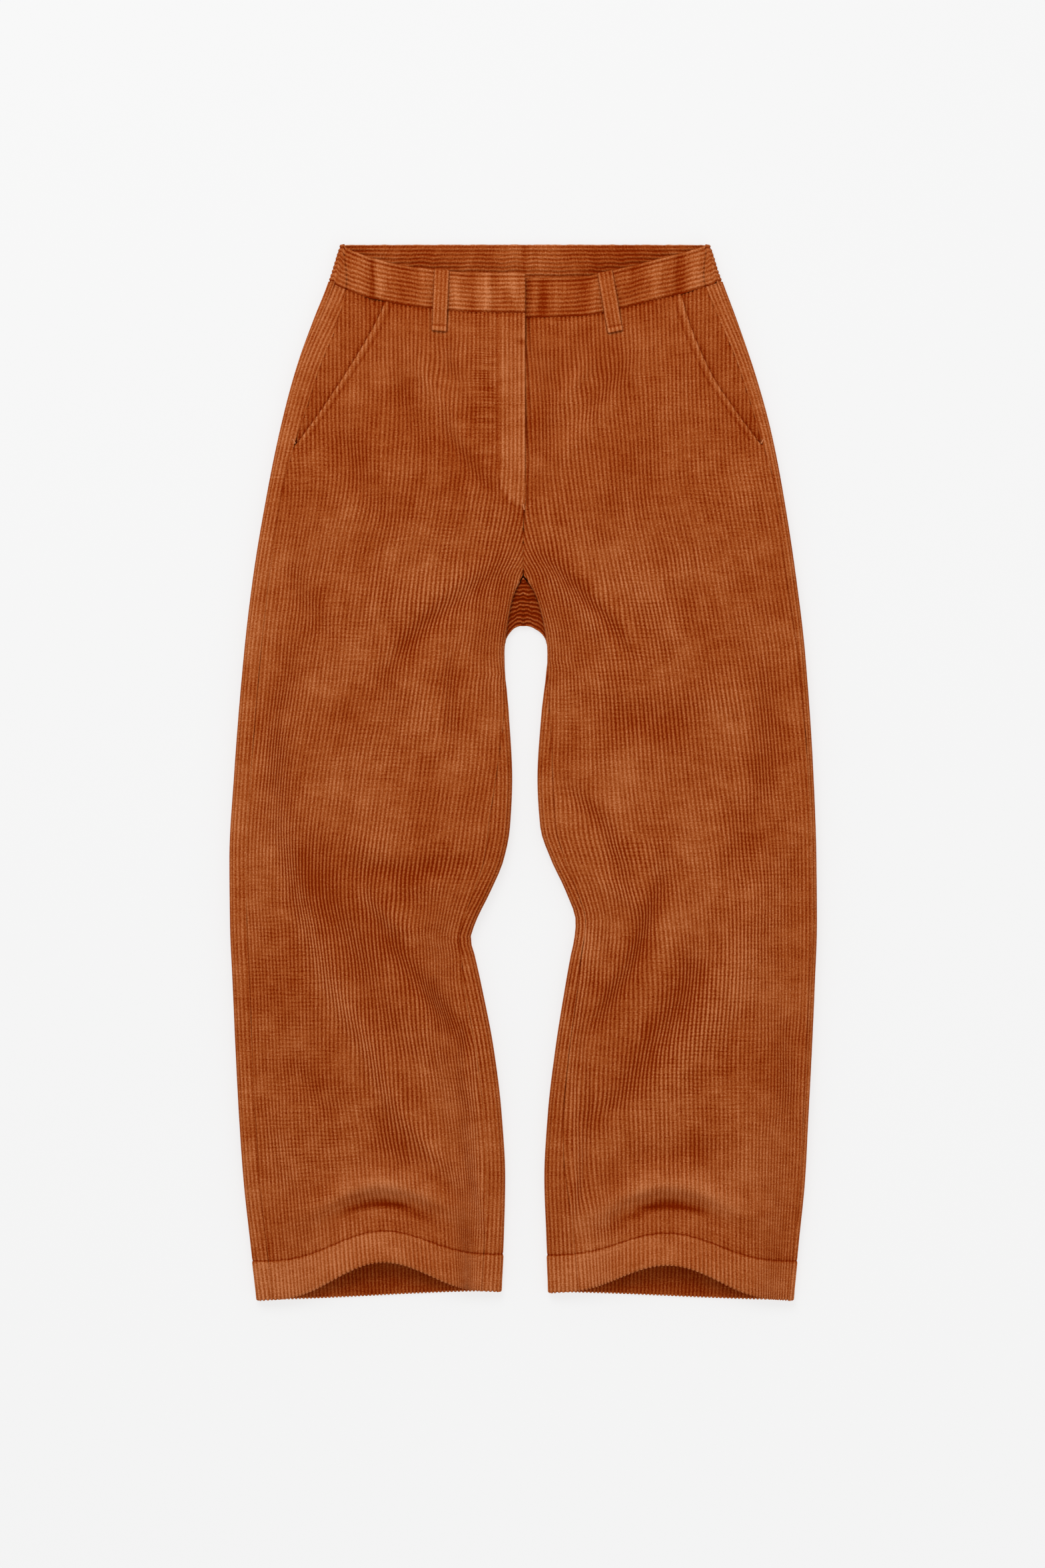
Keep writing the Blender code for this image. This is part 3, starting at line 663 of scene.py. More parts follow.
    def top(self, across: Array, level: Array) -> Array:
        """Height of the top of the cloth.

        Args:
            across: distances from the centre line.
            level: levels.

        Returns:
            Millimetres off the floor.
        """
        start = np.where(level > CROTCH_LEVEL, GAP / 2, self.top_start(level))
        t = np.clip((across - start) / (self.top_end(level) - start), 0, 1)
        base = self.inner_height(level) * (1 - t) + self.outer_height(level) * t
        near = np.where(level > CROTCH_LEVEL, 1.0, smoothstep(t, 0, 0.1))
        near = near * (1 - smoothstep(t, 0.9, 1))
        added = near * (self.folds(across, level) + self.ripples(across, level))
        return base + 4 * t * (1 - t) * self.middle(level) + added

    def around(self, g: object, level: object) -> Array:
        """A point of the outside.

        Args:
            g: the way along the cloth from the outer edge's widest line, over the top to
                the inner edge and on beneath it; under zero, below the outer edge.
            level: the level.

        Returns:
            Across, height up the garment and height off the floor, on a last axis.
        """
        g, level = np.broadcast_arrays(np.asarray(g, float), np.asarray(level, float))
        r, roll = self.outer_radius(level), self.inner_radius(level)
        end, start = self.top_end(level), self.top_start(level)
        quarter = math.pi / 2 * r
        last = quarter + end - start
        outer_turn = np.clip(g / r, -math.pi / 2, math.pi / 2)
        inner_turn = math.pi / 2 - np.clip((g - last) / roll, 0, math.pi)
        flat = end - (g - quarter)
        on_outer, on_inner = g < quarter, g > last
        across = np.where(on_outer, end + r * np.cos(outer_turn), flat)
        across = np.where(on_inner, start - roll * np.cos(inner_turn), across)
        low = self.outer_height(level) - r + r * np.sin(outer_turn)
        height = np.where(on_outer, low, self.top(flat, level))
        rolled = self.inner_height(level) - roll + roll * np.sin(inner_turn)
        height = np.where(on_inner, rolled, height)
        lying = np.where(on_outer | on_inner, 0.0, self.shift(across, level))
        return np.stack([across, level + self.tilt(across, level) + lying, height], axis=-1)

    def under(self, across: object, level: object) -> Array:
        """A point of the flat underside."""
        across, level = np.broadcast_arrays(np.asarray(across, float), np.asarray(level, float))
        return np.stack([across, level + self.tilt(across, level), back_lift(level)], axis=-1)

    def at_across(self, across: object, level: Array) -> Array:
        """The way along the cloth to a point of the top."""
        return math.pi / 2 * self.outer_radius(level) + self.top_end(level) - across

    def developed(self, inset: Array, radius: Array) -> Array:
        """The way along the cloth from an edge's widest line up to an inset from it.

        Args:
            inset: how far in from the edge.
            radius: of the edge's roll.

        Returns:
            Millimetres along the cloth.
        """
        on_arc = radius * np.arccos(np.clip(1 - inset / radius, -1, 1))
        beyond = math.pi / 2 * radius + inset - radius
        return np.where(inset < 0, inset, np.where(inset < radius, on_arc, beyond))

    def side_seam(self, level: Array) -> Array:
        """The way along the cloth to the side seam."""
        return self.developed(self.side_inset(level), self.outer_radius(level))

    def inseam(self, level: Array) -> Array:
        """The way to the inseam and, above the crotch, the centre seam and fly edge.

        Args:
            level: levels.

        Returns:
            Millimetres along the cloth.
        """
        roll = self.inner_radius(level)
        last = self.at_across(self.top_start(level), level)
        seam = last + math.pi / 2 * roll - self.developed(self.inseam_inset(level), roll)
        open_fly = smoothstep(level, FLY_LEVEL - 5, FLY_LEVEL + 5)
        edge = -FLY_LAP if self.side is Side.RIGHT else -FLY_UNDER
        centre = GAP / 2 + (edge - GAP / 2) * open_fly
        return np.where(level > CROTCH_LEVEL, self.at_across(centre, level) + GAP / 2, seam)

    def fly_dip(self, across: Array, level: Array) -> Array:
        """How far the left front and band sink to pass beneath the fly's edge.

        Args:
            across: distances from the centre line.
            level: levels.

        Returns:
            Millimetres down.
        """
        if self.side is Side.RIGHT:
            return 0 * across
        depth = CLOTH + 1.5 * GAP + (BAND_CLOTH - CLOTH) * smoothstep(level, 405, WAIST_LEVEL - 6)
        return depth * (1 - smoothstep(across, 2, 9)) * smoothstep(level, 203, 229)

    def front_top(self, g: Array, level: Array) -> Array:
        """A point of the outside, sunk beneath the fly where it passes under it.

        Args:
            g: the way along the cloth.
            level: the level.

        Returns:
            Across, height up the garment and height off the floor, on a last axis.
        """
        points = self.around(g, level)
        points[..., 2] -= self.fly_dip(points[..., 0], points[..., 1] * 0 + level)
        return points

    def fan(self, share: float, steps: int) -> Array:
        """The back crotch between the legs, from the underside up over the arch's fold to
        beneath the front's roll.

        Args:
            share: 0 at the arch's foot and 1 on the centre seam.
            steps: points in each of its two bends.

        Returns:
            Points on a first axis.
        """
        turn = share * math.pi / 2
        roll_level = ARCH_FOOT + (CROTCH_LEVEL - ARCH_FOOT) * share
        g = float(self.inseam(roll_level)) + GAP / 2
        start = self.around(g, roll_level)
        start[2] = back_crotch_height(roll_level)
        reach = float(self.inner(ARCH_FOOT)) - GAP / 2
        fold = np.array([GAP / 2 + reach * math.cos(turn), ARCH_FOOT + ARCH_RISE * math.sin(turn)])
        out = -unit(np.array([math.cos(turn) * ARCH_RISE, math.sin(turn) * reach]))
        radius = ARCH_RADIUS + (5.5 - ARCH_RADIUS) * (1 - share) ** 2
        points = []
        for step in np.linspace(0, math.pi / 2, steps):
            flat = start[:2] + (fold - start[:2]) * math.sin(step)
            points.append([*flat, radius + (start[2] - radius) * math.cos(step)])
        for step in np.linspace(0, math.pi / 2, steps)[1:]:
            flat = fold - out * radius * (1 - math.cos(step))
            points.append([*flat, radius * (1 - math.sin(step))])
        found = np.array(points)[::-1]
        if share == 1:
            found[:, 0] = SEAM / 2
        return found


@dataclass
class Cloth:
    """A grid of cloth: columns run along the wales, rows across them.

    Attributes:
        points: places on the outside.
        normals: the outward directions there.
        wale: millimetres across the wales.
        along: millimetres along them.
        shade: painted light and shade, with some of the pile's own tone: lighter over zero, darker under
            zero.
    """

    points: Array
    normals: Array
    wale: Array
    along: Array
    shade: Array

    def raised(self, height: Array) -> "Cloth":
        """The same cloth, moved out along its normals."""
        points = self.points + self.normals * height[..., None]
        return Cloth(points, self.normals, self.wale, self.along, self.shade)

    def ribbed(self, height: float = RIB) -> "Cloth":
        """The same cloth with its wales raised, most at a turned hem."""
        crest = np.abs(np.sin(math.pi * self.wale / PITCH)) ** 0.8
        return self.raised(height * (1 + 0.8 * bell(self.along, 3.5)) * (crest - 0.66))


def clipped(
    points: Array, normals: Array, wales: Array, low: Array, high: Array, along: Array
) -> Cloth:
    """Stops each row's columns at its two seams.

    Args:
        points: rows by columns of places, wider than the panel.
        normals: their normals.
        wales: the columns' places across the wales.
        low: each row's first place.
        high: each row's last place.
        along: each row's place along the wales.

    Returns:
        The panel's cloth; columns past a seam lie on it.
    """
    kept = np.clip(wales[None, :], low[:, None], high[:, None])
    cut = np.empty(kept.shape + (6,))
    both = np.concatenate([points, normals], axis=-1)
    for i, row in enumerate(kept):
        for k in range(6):
            cut[i, :, k] = np.interp(row, wales, both[i, :, k])
    length = np.repeat(along[:, None], len(wales), axis=1)
    return Cloth(cut[..., :3], unit(cut[..., 3:]), kept, length, np.zeros(kept.shape))


def wale_columns(low: float, high: float) -> Array:
    """Columns a quarter of a wale apart that reach past both ends."""
    step = PITCH / 4
    return np.arange(math.floor(low / step) - 3, math.ceil(high / step) + 4) * step


def panel_levels(spacing: float, first: float, last: float, fine: Sequence[float]) -> Array:
    """Rows at an even spacing, with finer ones about some levels.

    Args:
        spacing: between rows.
        first: the lowest row.
        last: the highest row.
        fine: levels with closer rows about them.

    Returns:
        The rows' levels, in order.
    """
    count = max(2, round((last - first) / spacing))
    rows = list(np.linspace(first, last, count + 1))
    for place in fine:
        rows = [r for r in rows if abs(r - place) > 2.6] + [
            place + d for d in (-2.2, -1.0, 0.0, 1.0, 2.2)
        ]
    kept = sorted(r for r in rows if first - 1e-6 <= r <= last + 1e-6)
    return np.array(sorted(set([first, last] + kept)))


def sewn(cloth: Cloth, low: Array, high: Array, soft_low: float = 1.0, soft_high: float = 1.0) -> Cloth:
    """Sinks a panel's edges into their seams, with the small puckers of the sewing.

    Args:
        cloth: the panel.
        low: each row's first place across the wales.
        high: each row's last place.
        soft_low: how strongly the first edge is sewn.
        soft_high: how strongly the last edge is sewn.

    Returns:
        The sewn panel.
    """
    height, shade = np.zeros_like(cloth.wale), np.zeros_like(cloth.wale)
    for place, much, seed in ((low, soft_low, 0.3), (high, soft_high, 1.9)):
        off = np.abs(cloth.wale - place[:, None])
        height -= 0.55 * much * bell(off, 1.2)
        # Painted shade in the seam's groove.
        shade -= 0.55 * much * bell(off, 1.1)
        pucker = waver(cloth.along / 2.5, seed) * bell(off - 2.5, 6.0)
        height += 0.24 * much * pucker
        # Painted light and shade following the puckers.
        shade += 0.16 * much * pucker
    found = cloth.raised(height)
    found.shade = cloth.shade + shade
    return found


def hem_line(cloth: Cloth) -> Cloth:
    """The blind-stitched line of the hem and the fuller cloth below it, with painted shade in the line's
    groove and painted highlights on the fuller cloth and the puckers.

    Args:
        cloth: the panel.

    Returns:
        The panel with its hem's line.
    """
    above = cloth.along - HEM_DEPTH - 0.45 * waver(cloth.wale / 1.9, 0.2)
    height = 0.45 * (1 - smoothstep(above, -1.5, 0.5)) - 0.55 * bell(above, 1.0)
    pull = waver(cloth.wale / 2.4, 0.7) * bell(above - 2, 5)
    found = cloth.raised(height + 0.16 * pull)
    lit = 0.34 * (1 - smoothstep(above, -1.0, 0.5)) + 0.22 * pull
    found.shade = cloth.shade + lit - 1.25 * bell(above, 0.8)
    return found


def hemmed(cloth: Cloth, inside_shade: float = -0.4) -> Cloth:
    """Folds the hem allowance up inside: the grid's first rows are the hem.

    Args:
        cloth: the panel, its first row at the hem.
        inside_shade: how dark the allowance is painted, as painted shadow inside the hem.

    Returns:
        The panel with its fold and allowance as further rows before it.
    """
    depth = int(np.argmax(cloth.along[:, 0] > HEM_DEPTH - 1.5))
    back = slice(depth, None, -1)
    down = cloth.points[0] - cloth.points[1]
    down = unit(down - cloth.normals[0] * np.sum(down * cloth.normals[0], -1, keepdims=True))
    inside = cloth.points[back] - 2 * FOLD_RADIUS * cloth.normals[back]
    centre = cloth.points[0] - FOLD_RADIUS * cloth.normals[0]
    folds, turned = [], []
    for angle in (150, 120, 90, 60, 30):
        turn = math.radians(angle)
        way = cloth.normals[0] * math.cos(turn) + down * math.sin(turn)
        folds.append(centre + FOLD_RADIUS * way)
        turned.append(way)
    count = len(folds)
    # The fold's rows are painted lighter towards its middle: a painted highlight on the hem's fold.
    lip = np.tile(0.5 * np.array([0.2, 0.8, 1.0, 0.9, 0.6])[:, None], (1, cloth.wale.shape[1]))
    return Cloth(
        np.concatenate([inside, np.array(folds), cloth.points]),
        np.concatenate([-cloth.normals[back], np.array(turned), cloth.normals]),
        np.concatenate([cloth.wale[back], np.tile(cloth.wale[0], (count, 1)), cloth.wale]),
        np.concatenate([
            -cloth.along[back] - math.pi * FOLD_RADIUS,
            np.tile(-np.linspace(5, 1, count)[:, None], (1, cloth.wale.shape[1])), cloth.along,
        ]),
        np.concatenate([0 * cloth.shade[back] + inside_shade, lip, cloth.shade]),
    )


def deselect() -> None:
    """Leaves nothing selected."""
    if bpy.context.object is not None and bpy.context.object.mode != "OBJECT":
        bpy.ops.object.mode_set(mode="OBJECT")
    bpy.ops.object.select_all(action="DESELECT")


def sewing_grid(
    name: str, cloth: Cloth, sign: int, wall: float,
    dropped: Optional[Array] = None, form: Optional[Form] = None,
) -> bpy.types.Object:
    """Makes a piece of cloth of a grid: shapes it, trims it and gives it its wall.

    Args:
        name: the piece's name.
        cloth: its grid.
        sign: 1 on the wearer's left, -1 on the right.
        wall: thickness beneath the ribs, in millimetres.
        dropped: the grid's faces that aren't cloth, as rows by columns.
        form: the laid shape of its half, for a panel.

    Returns:
        The finished mesh object.
    """
    deselect()
    rows, columns = cloth.wale.shape
    bpy.ops.mesh.primitive_grid_add(
        x_subdivisions=columns - 1, y_subdivisions=rows - 1, size=1, location=(0, 0, 0)
    )
    piece = bpy.context.object
    piece.name = name + "_cloth"
    mesh = piece.data
    mesh.name = piece.name
    places = cloth.points * np.array([sign, 1, 1]) * MM
    places[..., 2] = np.maximum(places[..., 2], 0.0)
    mesh.vertices.foreach_set("co", places.reshape(-1))
    corner = np.empty(len(mesh.loops), int)
    mesh.loops.foreach_get("vertex_index", corner)
    flat = np.stack([cloth.wale, cloth.along], axis=-1).reshape(-1, 2) * MM
    mesh.uv_layers.active.name = "wales"
    mesh.uv_layers.active.data.foreach_set("uv", flat[corner].reshape(-1))
    marks = {"shade": cloth.shade, "crossed": 0.3 + 0 * cloth.shade, "crisp": 0 * cloth.shade}
    if form is not None:
        marks["crossed"] = form.crossed(cloth.points[..., 0], cloth.points[..., 1])
        marks["crisp"] = form.crisp(cloth.points[..., 0], cloth.points[..., 1])
    for key, values in marks.items():
        mesh.attributes.new(key, "FLOAT", "POINT").data.foreach_set("value", values.reshape(-1))
    empty = np.ptp(
        np.stack([cloth.wale[:-1, :-1], cloth.wale[:-1, 1:], cloth.wale[1:, :-1], cloth.wale[1:, 1:]]), 0
    ) < 1e-6
    if dropped is not None:
        empty |= dropped
    mesh.polygons.foreach_set("select", np.zeros(len(mesh.polygons), bool))
    mesh.edges.foreach_set("select", np.zeros(len(mesh.edges), bool))
    mesh.vertices.foreach_set("select", np.zeros(len(mesh.vertices), bool))
    mesh.polygons.foreach_set("select", empty.reshape(-1))
    mesh.update()
    bpy.ops.object.mode_set(mode="EDIT")
    bpy.ops.mesh.select_mode(type="FACE")
    bpy.ops.mesh.delete(type="FACE")
    bpy.ops.mesh.select_mode(type="VERT")
    bpy.ops.mesh.select_all(action="SELECT")
    bpy.ops.mesh.remove_doubles(threshold=0.000005)
    bpy.ops.mesh.select_all(action="SELECT")
    bpy.ops.mesh.dissolve_degenerate(threshold=0.000004)
    bpy.ops.object.mode_set(mode="OBJECT")
    normals = cloth.normals * np.array([sign, 1, 1])
    if not faces_agree(mesh, places.reshape(-1, 3), normals.reshape(-1, 3)):
        bpy.ops.object.mode_set(mode="EDIT")
        bpy.ops.mesh.select_all(action="SELECT")
        bpy.ops.mesh.flip_normals()
        bpy.ops.object.mode_set(mode="OBJECT")
    thicken = piece.modifiers.new("wall", "SOLIDIFY")
    thicken.thickness = wall * MM
    thicken.offset = -1
    thicken.use_quality_normals = True
    bpy.ops.object.modifier_apply(modifier=thicken.name)
    bpy.ops.object.shade_smooth()
    return piece


def faces_agree(mesh: bpy.types.Mesh, places: Array, normals: Array) -> bool:
    """Whether a mesh's faces point the way that the cloth's normals do.

    Args:
        mesh: the piece's mesh.
        places: points of its cloth, in metres.
        normals: the outward directions there.

    Returns:
        True where most faces point outward.
    """
    step = max(1, len(mesh.polygons) // 400)
    score = 0.0
    for face in list(mesh.polygons)[::step]:
        near = int(np.argmin(np.sum((places - np.array(face.center)) ** 2, axis=1)))
        score += float(np.dot(normals[near], np.array(face.normal)))
    return score > 0


def dress(piece: bpy.types.Object, nodes: Sequence[str], material: bpy.types.Material) -> None:
    """Puts a piece on the frame in its material, in place of its CAD nodes.

    Args:
        piece: the mesh object.
        nodes: the CAD nodes that it stands for, if any.
        material: its finish.
    """
    piece.data.materials.clear()
    piece.data.materials.append(material)
    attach(piece, "root")
    if nodes:
        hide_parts(*nodes)
    LOG.info("%s: %d faces", piece.name, len(piece.data.polygons))


def outward(points: Array, like: Sequence[float]) -> Array:
    """Normals of a grid by differences between neighbours.

    Args:
        points: rows by columns of places.
        like: roughly the outward direction at the grid's middle.

    Returns:
        Unit normals, pointing out of the garment.
    """
    up, ahead = np.gradient(points, axis=0), np.gradient(points, axis=1)
    found = unit(np.cross(up, ahead))
    middle = found[points.shape[0] // 2, points.shape[1] // 2]
    return found if float(np.dot(middle, like)) > 0 else -found


def flat_size(cloth: Cloth) -> tuple[tuple[float, float], float]:
    """Width, length and area of a piece's cut, in metres.

    Args:
        cloth: the piece before its wales are raised.

    Returns:
        The greatest width and the length, and the area between its seams.
    """
    p = cloth.points * MM
    widths = np.linalg.norm(np.diff(p, axis=1), axis=-1).sum(axis=1)
    steps = np.diff(cloth.along[:, 0]) * MM
    area = float(np.sum((widths[1:] + widths[:-1]) / 2 * steps))
    return (float(widths.max()), float(steps.sum())), area


@dataclass
class Panel:
    """A cut panel of one half.

    Attributes:
        form: the laid shape of its half.
        wall: thickness beneath the ribs.
        row_spacing: between rows of the grid.
    """

    form: Form
    wall: float = WALL
    row_spacing: float = 6.0

    def lay(
        self, name: str, cloth: Cloth, cut: Cloth, finish: "Finishes", on: Sequence[str]
    ) -> bpy.types.Object:
        """Makes the panel of its grid and dresses it.

        Args:
            name: the panel's name, which is also its CAD node's.
            cloth: the finished grid.
            cut: the grid before its relief; not used.
            finish: the materials.
            on: what it lies on; not used.

        Returns:
            The mesh object.
        """
        piece = sewing_grid(name, cloth.ribbed(), self.form.side.value, self.wall, None, self.form)
        dress(piece, [name], finish.pile)
        return piece


@dataclass
class FrontPanel(Panel):
    """A front: hem to waistband, side seam or pocket mouth to inseam or centre.

    Attributes:
        guide_spread: how gradually the wales' spacing changes at the guide wale.
    """

    row_spacing: float = 6.3
    guide_spread: float = 60.0

    def low(self, level: Array) -> Array:
        """The way to the side seam or the pocket mouth.

        Args:
            level: levels.

        Returns:
            Millimetres along the cloth.
        """
        seam = self.form.side_seam(level)
        mouth = self.form.at_across(self.form.mouth(level), level)
        return np.where(level > POCKET_FOOT - 1, np.maximum(mouth, seam), seam) + SEAM / 2

    def way(self, wale: Array, level: Array) -> Array:
        """The way along the cloth to a wale, by the grain of its level.

        Args:
            wale: places across the wales, from the guide wale.
            level: levels, as a column.

        Returns:
            The way for each level and wale.
        """
        form = self.form
        centre = form.at_across(form.grain(level), level)
        hinge = (wale + np.sqrt(wale**2 + self.guide_spread**2) - self.guide_spread) / 2
        outer, inner = form.grain_outer(level), form.grain_inner(level)
        g = centre + outer * wale + (inner - outer) * hinge
        leg = 1 - smoothstep(level, 225, 290)
        foot = float(form.at_across(0.0, SEAT_FOOT) - form.inseam(SEAT_FOOT))
        past = through(((SEAT_FOOT, foot), (CROTCH_LEVEL, 0.0), (205, -6.0), (240, -11.5), (290, -13)))
        edge = np.where(level > SEAT_FOOT, form.at_across(past(level), level), form.inseam(level))
        seam, rim = GUIDES[form.side]
        there = np.interp(seam, wale.ravel(), np.arange(wale.size))
        middle = g[:, int(there)][:, None]
        g = g + 0.92 * leg * (edge - middle) * smoothstep(wale, seam - 62, seam)
        g = g - bunched(level) * (np.clip(wale - seam + 69, 0, 90) / 85) ** 2
        body = 1 - smoothstep(level, 230, 290)
        there = np.interp(rim, wale.ravel(), np.arange(wale.size))
        middle = g[:, int(there)][:, None]
        g = g + 0.7 * body * (form.side_seam(level) - middle) * (1 - smoothstep(wale, rim, rim + 70))
        across = form.at_across(0.0, level) - g
        return g - form.drawn(across, level)

    def pocket_edge(self, cloth: Cloth, low: Array, level: Array) -> Cloth:
        """The pocket mouth's turned edge: fuller and finely scalloped, with painted highlights on its roll
        and scallops and painted shade in the groove beside it.

        Args:
            cloth: the front.
            low: each row's wale at the edge.
            level: each row's level.

        Returns:
            The front with its pocket's edge.
        """
        off = cloth.wale - low[:, None]
        share = smoothstep(level, POCKET_FOOT - 4, POCKET_FOOT + 6)[:, None]
        scallop = waver(cloth.along / 1.1, 2.4)
        lip = 0.75 * bell(off - 1.7, 1.7) - 0.5 * bell(off - 6.6, 1.0) - 0.5 * bell(off, 0.8)
        found = cloth.raised(share * (lip + 0.2 * scallop * bell(off, 3.0)))
        lit = 0.62 * bell(off - 1.3, 1.9) - 0.62 * bell(off - 6.6, 0.9) + 0.25 * scallop * bell(off, 2.5)
        found.shade = cloth.shade + share * lit
        return found

    def fly(self, cloth: Cloth, level: Array) -> Cloth:
        """The fly's pressed strip, its curved stitched line and the gathers beside it.

        Args:
            cloth: the front.
            level: each row's level.

        Returns:
            The front with its fly.
        """
        across, up = cloth.points[..., 0], np.repeat(level[:, None], cloth.wale.shape[1], axis=1)
        right = self.form.side is Side.RIGHT
        bend = np.hypot(across / FLY_WIDTH, np.minimum(up - 268, 0) / 30) - 1
        off = bend * FLY_WIDTH
        open_fly = smoothstep(up, FLY_LEVEL - 2, FLY_LEVEL + 4)
        if not right:
            # Painted shadow beside the fly's edge, where the left front is sunk beneath it.
            near = bell(across - 3, 5.0) * smoothstep(up, 236, 250)
            found = cloth.raised(-0.3 * near)
            found.shade = cloth.shade - 0.3 * near
            return found
        inside = 1 - smoothstep(off, -1.0, 0.6)
        edge = np.abs(across + FLY_LAP)
        waves = waver(up / 4.2, 0.5)
        side_puckers = waver(up / 3.6, 2.0) * smoothstep(off, 0, 3) * (1 - smoothstep(off, 8, 34))
        side_puckers = side_puckers * smoothstep(up, 262, 285) * (1 - smoothstep(up, 385, 402))
        lines = waver(up / 1.7, 1.2) * smoothstep(off, 1, 5) * (1 - smoothstep(off, 10, 32))
        lines = lines * smoothstep(up, 262, 290) * (1 - smoothstep(up, 380, 400))
        height = 0.35 * inside * open_fly - 0.55 * bell(off, 0.9) * open_fly
        height = height + 0.3 * waves * bell(edge, 7.0) * open_fly + 0.3 * side_puckers
        notch = bell(across - 0.5, 5.0) * bell(up - 410, 3.0)
        away = (np.hypot(across / FLY_DEPTH, np.minimum(up - 286, 0) / 41) - 1) * FLY_DEPTH
        kept = smoothstep(up, 240, 252) * (1 - smoothstep(up, 392, 404)) * smoothstep(-across, -1, 4)
        kept = kept * (0.55 + 0.45 * smoothstep(300 - up, -30, 10))
        tuck = waver(up / 2.3 - across / 11, 0.9) * bell(away + 4, 7.0) * kept
        line = bell(away, 1.5) * kept
        # lit holds the pressed strip's lighter tone, painted shade in the stitched lines and the notch, and
        # painted highlights along the fly's edge, beside the stitching, and on the tucks, puckers and
        # crossing lines.
        lit = 0.42 * inside * open_fly * (0.75 + 0.25 * waves) - 0.7 * bell(off, 0.9) * open_fly
        lit = lit + 0.35 * bell(off + 1.8, 1.0) * open_fly * smoothstep(268 - up, -20, 10)
        lit = lit + 0.45 * bell(edge - 0.8, 1.4) * open_fly + 0.25 * side_puckers
        lit = lit + 0.42 * lines - 0.9 * notch
        lit = lit + 0.55 * bell(away + 3.6, 2.2) * kept - 0.8 * line + 0.36 * tuck
        found = cloth.raised(height + 0.25 * lines - 0.8 * notch - 0.4 * line + 0.2 * tuck)
        found.shade = cloth.shade + lit
        return found

    def build(self, finish: "Finishes") -> bpy.types.Object:
        """Builds and dresses the front.

        Args:
            finish: the materials.

        Returns:
            The mesh object.
        """
        form = self.form
        level = panel_levels(
            self.row_spacing, HEM_LEVEL + FOLD_RADIUS, WAIST_LEVEL - SEAM,
            (HEM_LEVEL + HEM_DEPTH, 172.0, FLY_LEVEL, WAIST_LEVEL - 5),
        )
        gaps = np.diff(level)
        between = (level[:-1] + gaps / 2)[(gaps > 4) & (level[:-1] > 262) & (level[:-1] < 400)]
        level = np.sort(np.concatenate([level, between]))
        rows = level[:, None]
        reach = wale_columns(-215, 175)
        g = self.way(reach[None, :], rows)
        first, last = self.low(level), form.inseam(level) - SEAM / 2
        low = np.array([np.interp(a, row, reach) for a, row in zip(first, g)])
        high = np.array([np.interp(b, row, reach) for b, row in zip(last, g)])
        wales = wale_columns(low.min(), high.max())
        points = form.front_top(self.way(wales[None, :], rows), rows)
        cut = clipped(points, outward(points, (0, 0, 1)), wales, low, high, level - HEM_LEVEL)
        cloth = hem_line(sewn(cut, low, high, 0.45, 0.5))
        # Painted highlights on the folds' ridges and painted shade in their troughs and the hem's buckle.
        cloth.shade = cloth.shade + form.painted_relief_shade(cloth.points[..., 0], rows)
        cloth = self.pocket_edge(cloth, low, level)
        cloth = self.fly(cloth, level)
        # Painted shade over the hips, evening out the key light, which falls brighter there.
        cloth.shade = cloth.shade - 0.15 * smoothstep(rows, 150, 320)
        # Painted shadow under the waistband's edge, where the front is also sunk.
        under_band = bell(rows - WAIST_LEVEL, 3.0)
        cloth = cloth.raised(-0.6 * under_band)
        cloth.shade = cloth.shade - 0.5 * under_band
        # Painted shade towards the crotch.
        crotch = smoothstep(rows, 90, 165) * (1 - smoothstep(rows, 185, 225))
        cloth.shade = cloth.shade - 0.2 * crotch * bell(cloth.points[..., 0] - 14, 26)
        # Painted highlight along the inseam's roll.
        rim = np.abs(cloth.wale - high[:, None])
        roll = smoothstep(rows, 95, 125) * (rows < CROTCH_LEVEL)
        cloth.shade = cloth.shade + 0.4 * roll * bell(rim - 4, 2.5)
        name, back = "front_" + form.side.word, "back_" + form.side.word + "_cloth"
        return self.lay(name, hemmed(cloth), hemmed(cut), finish, [back])


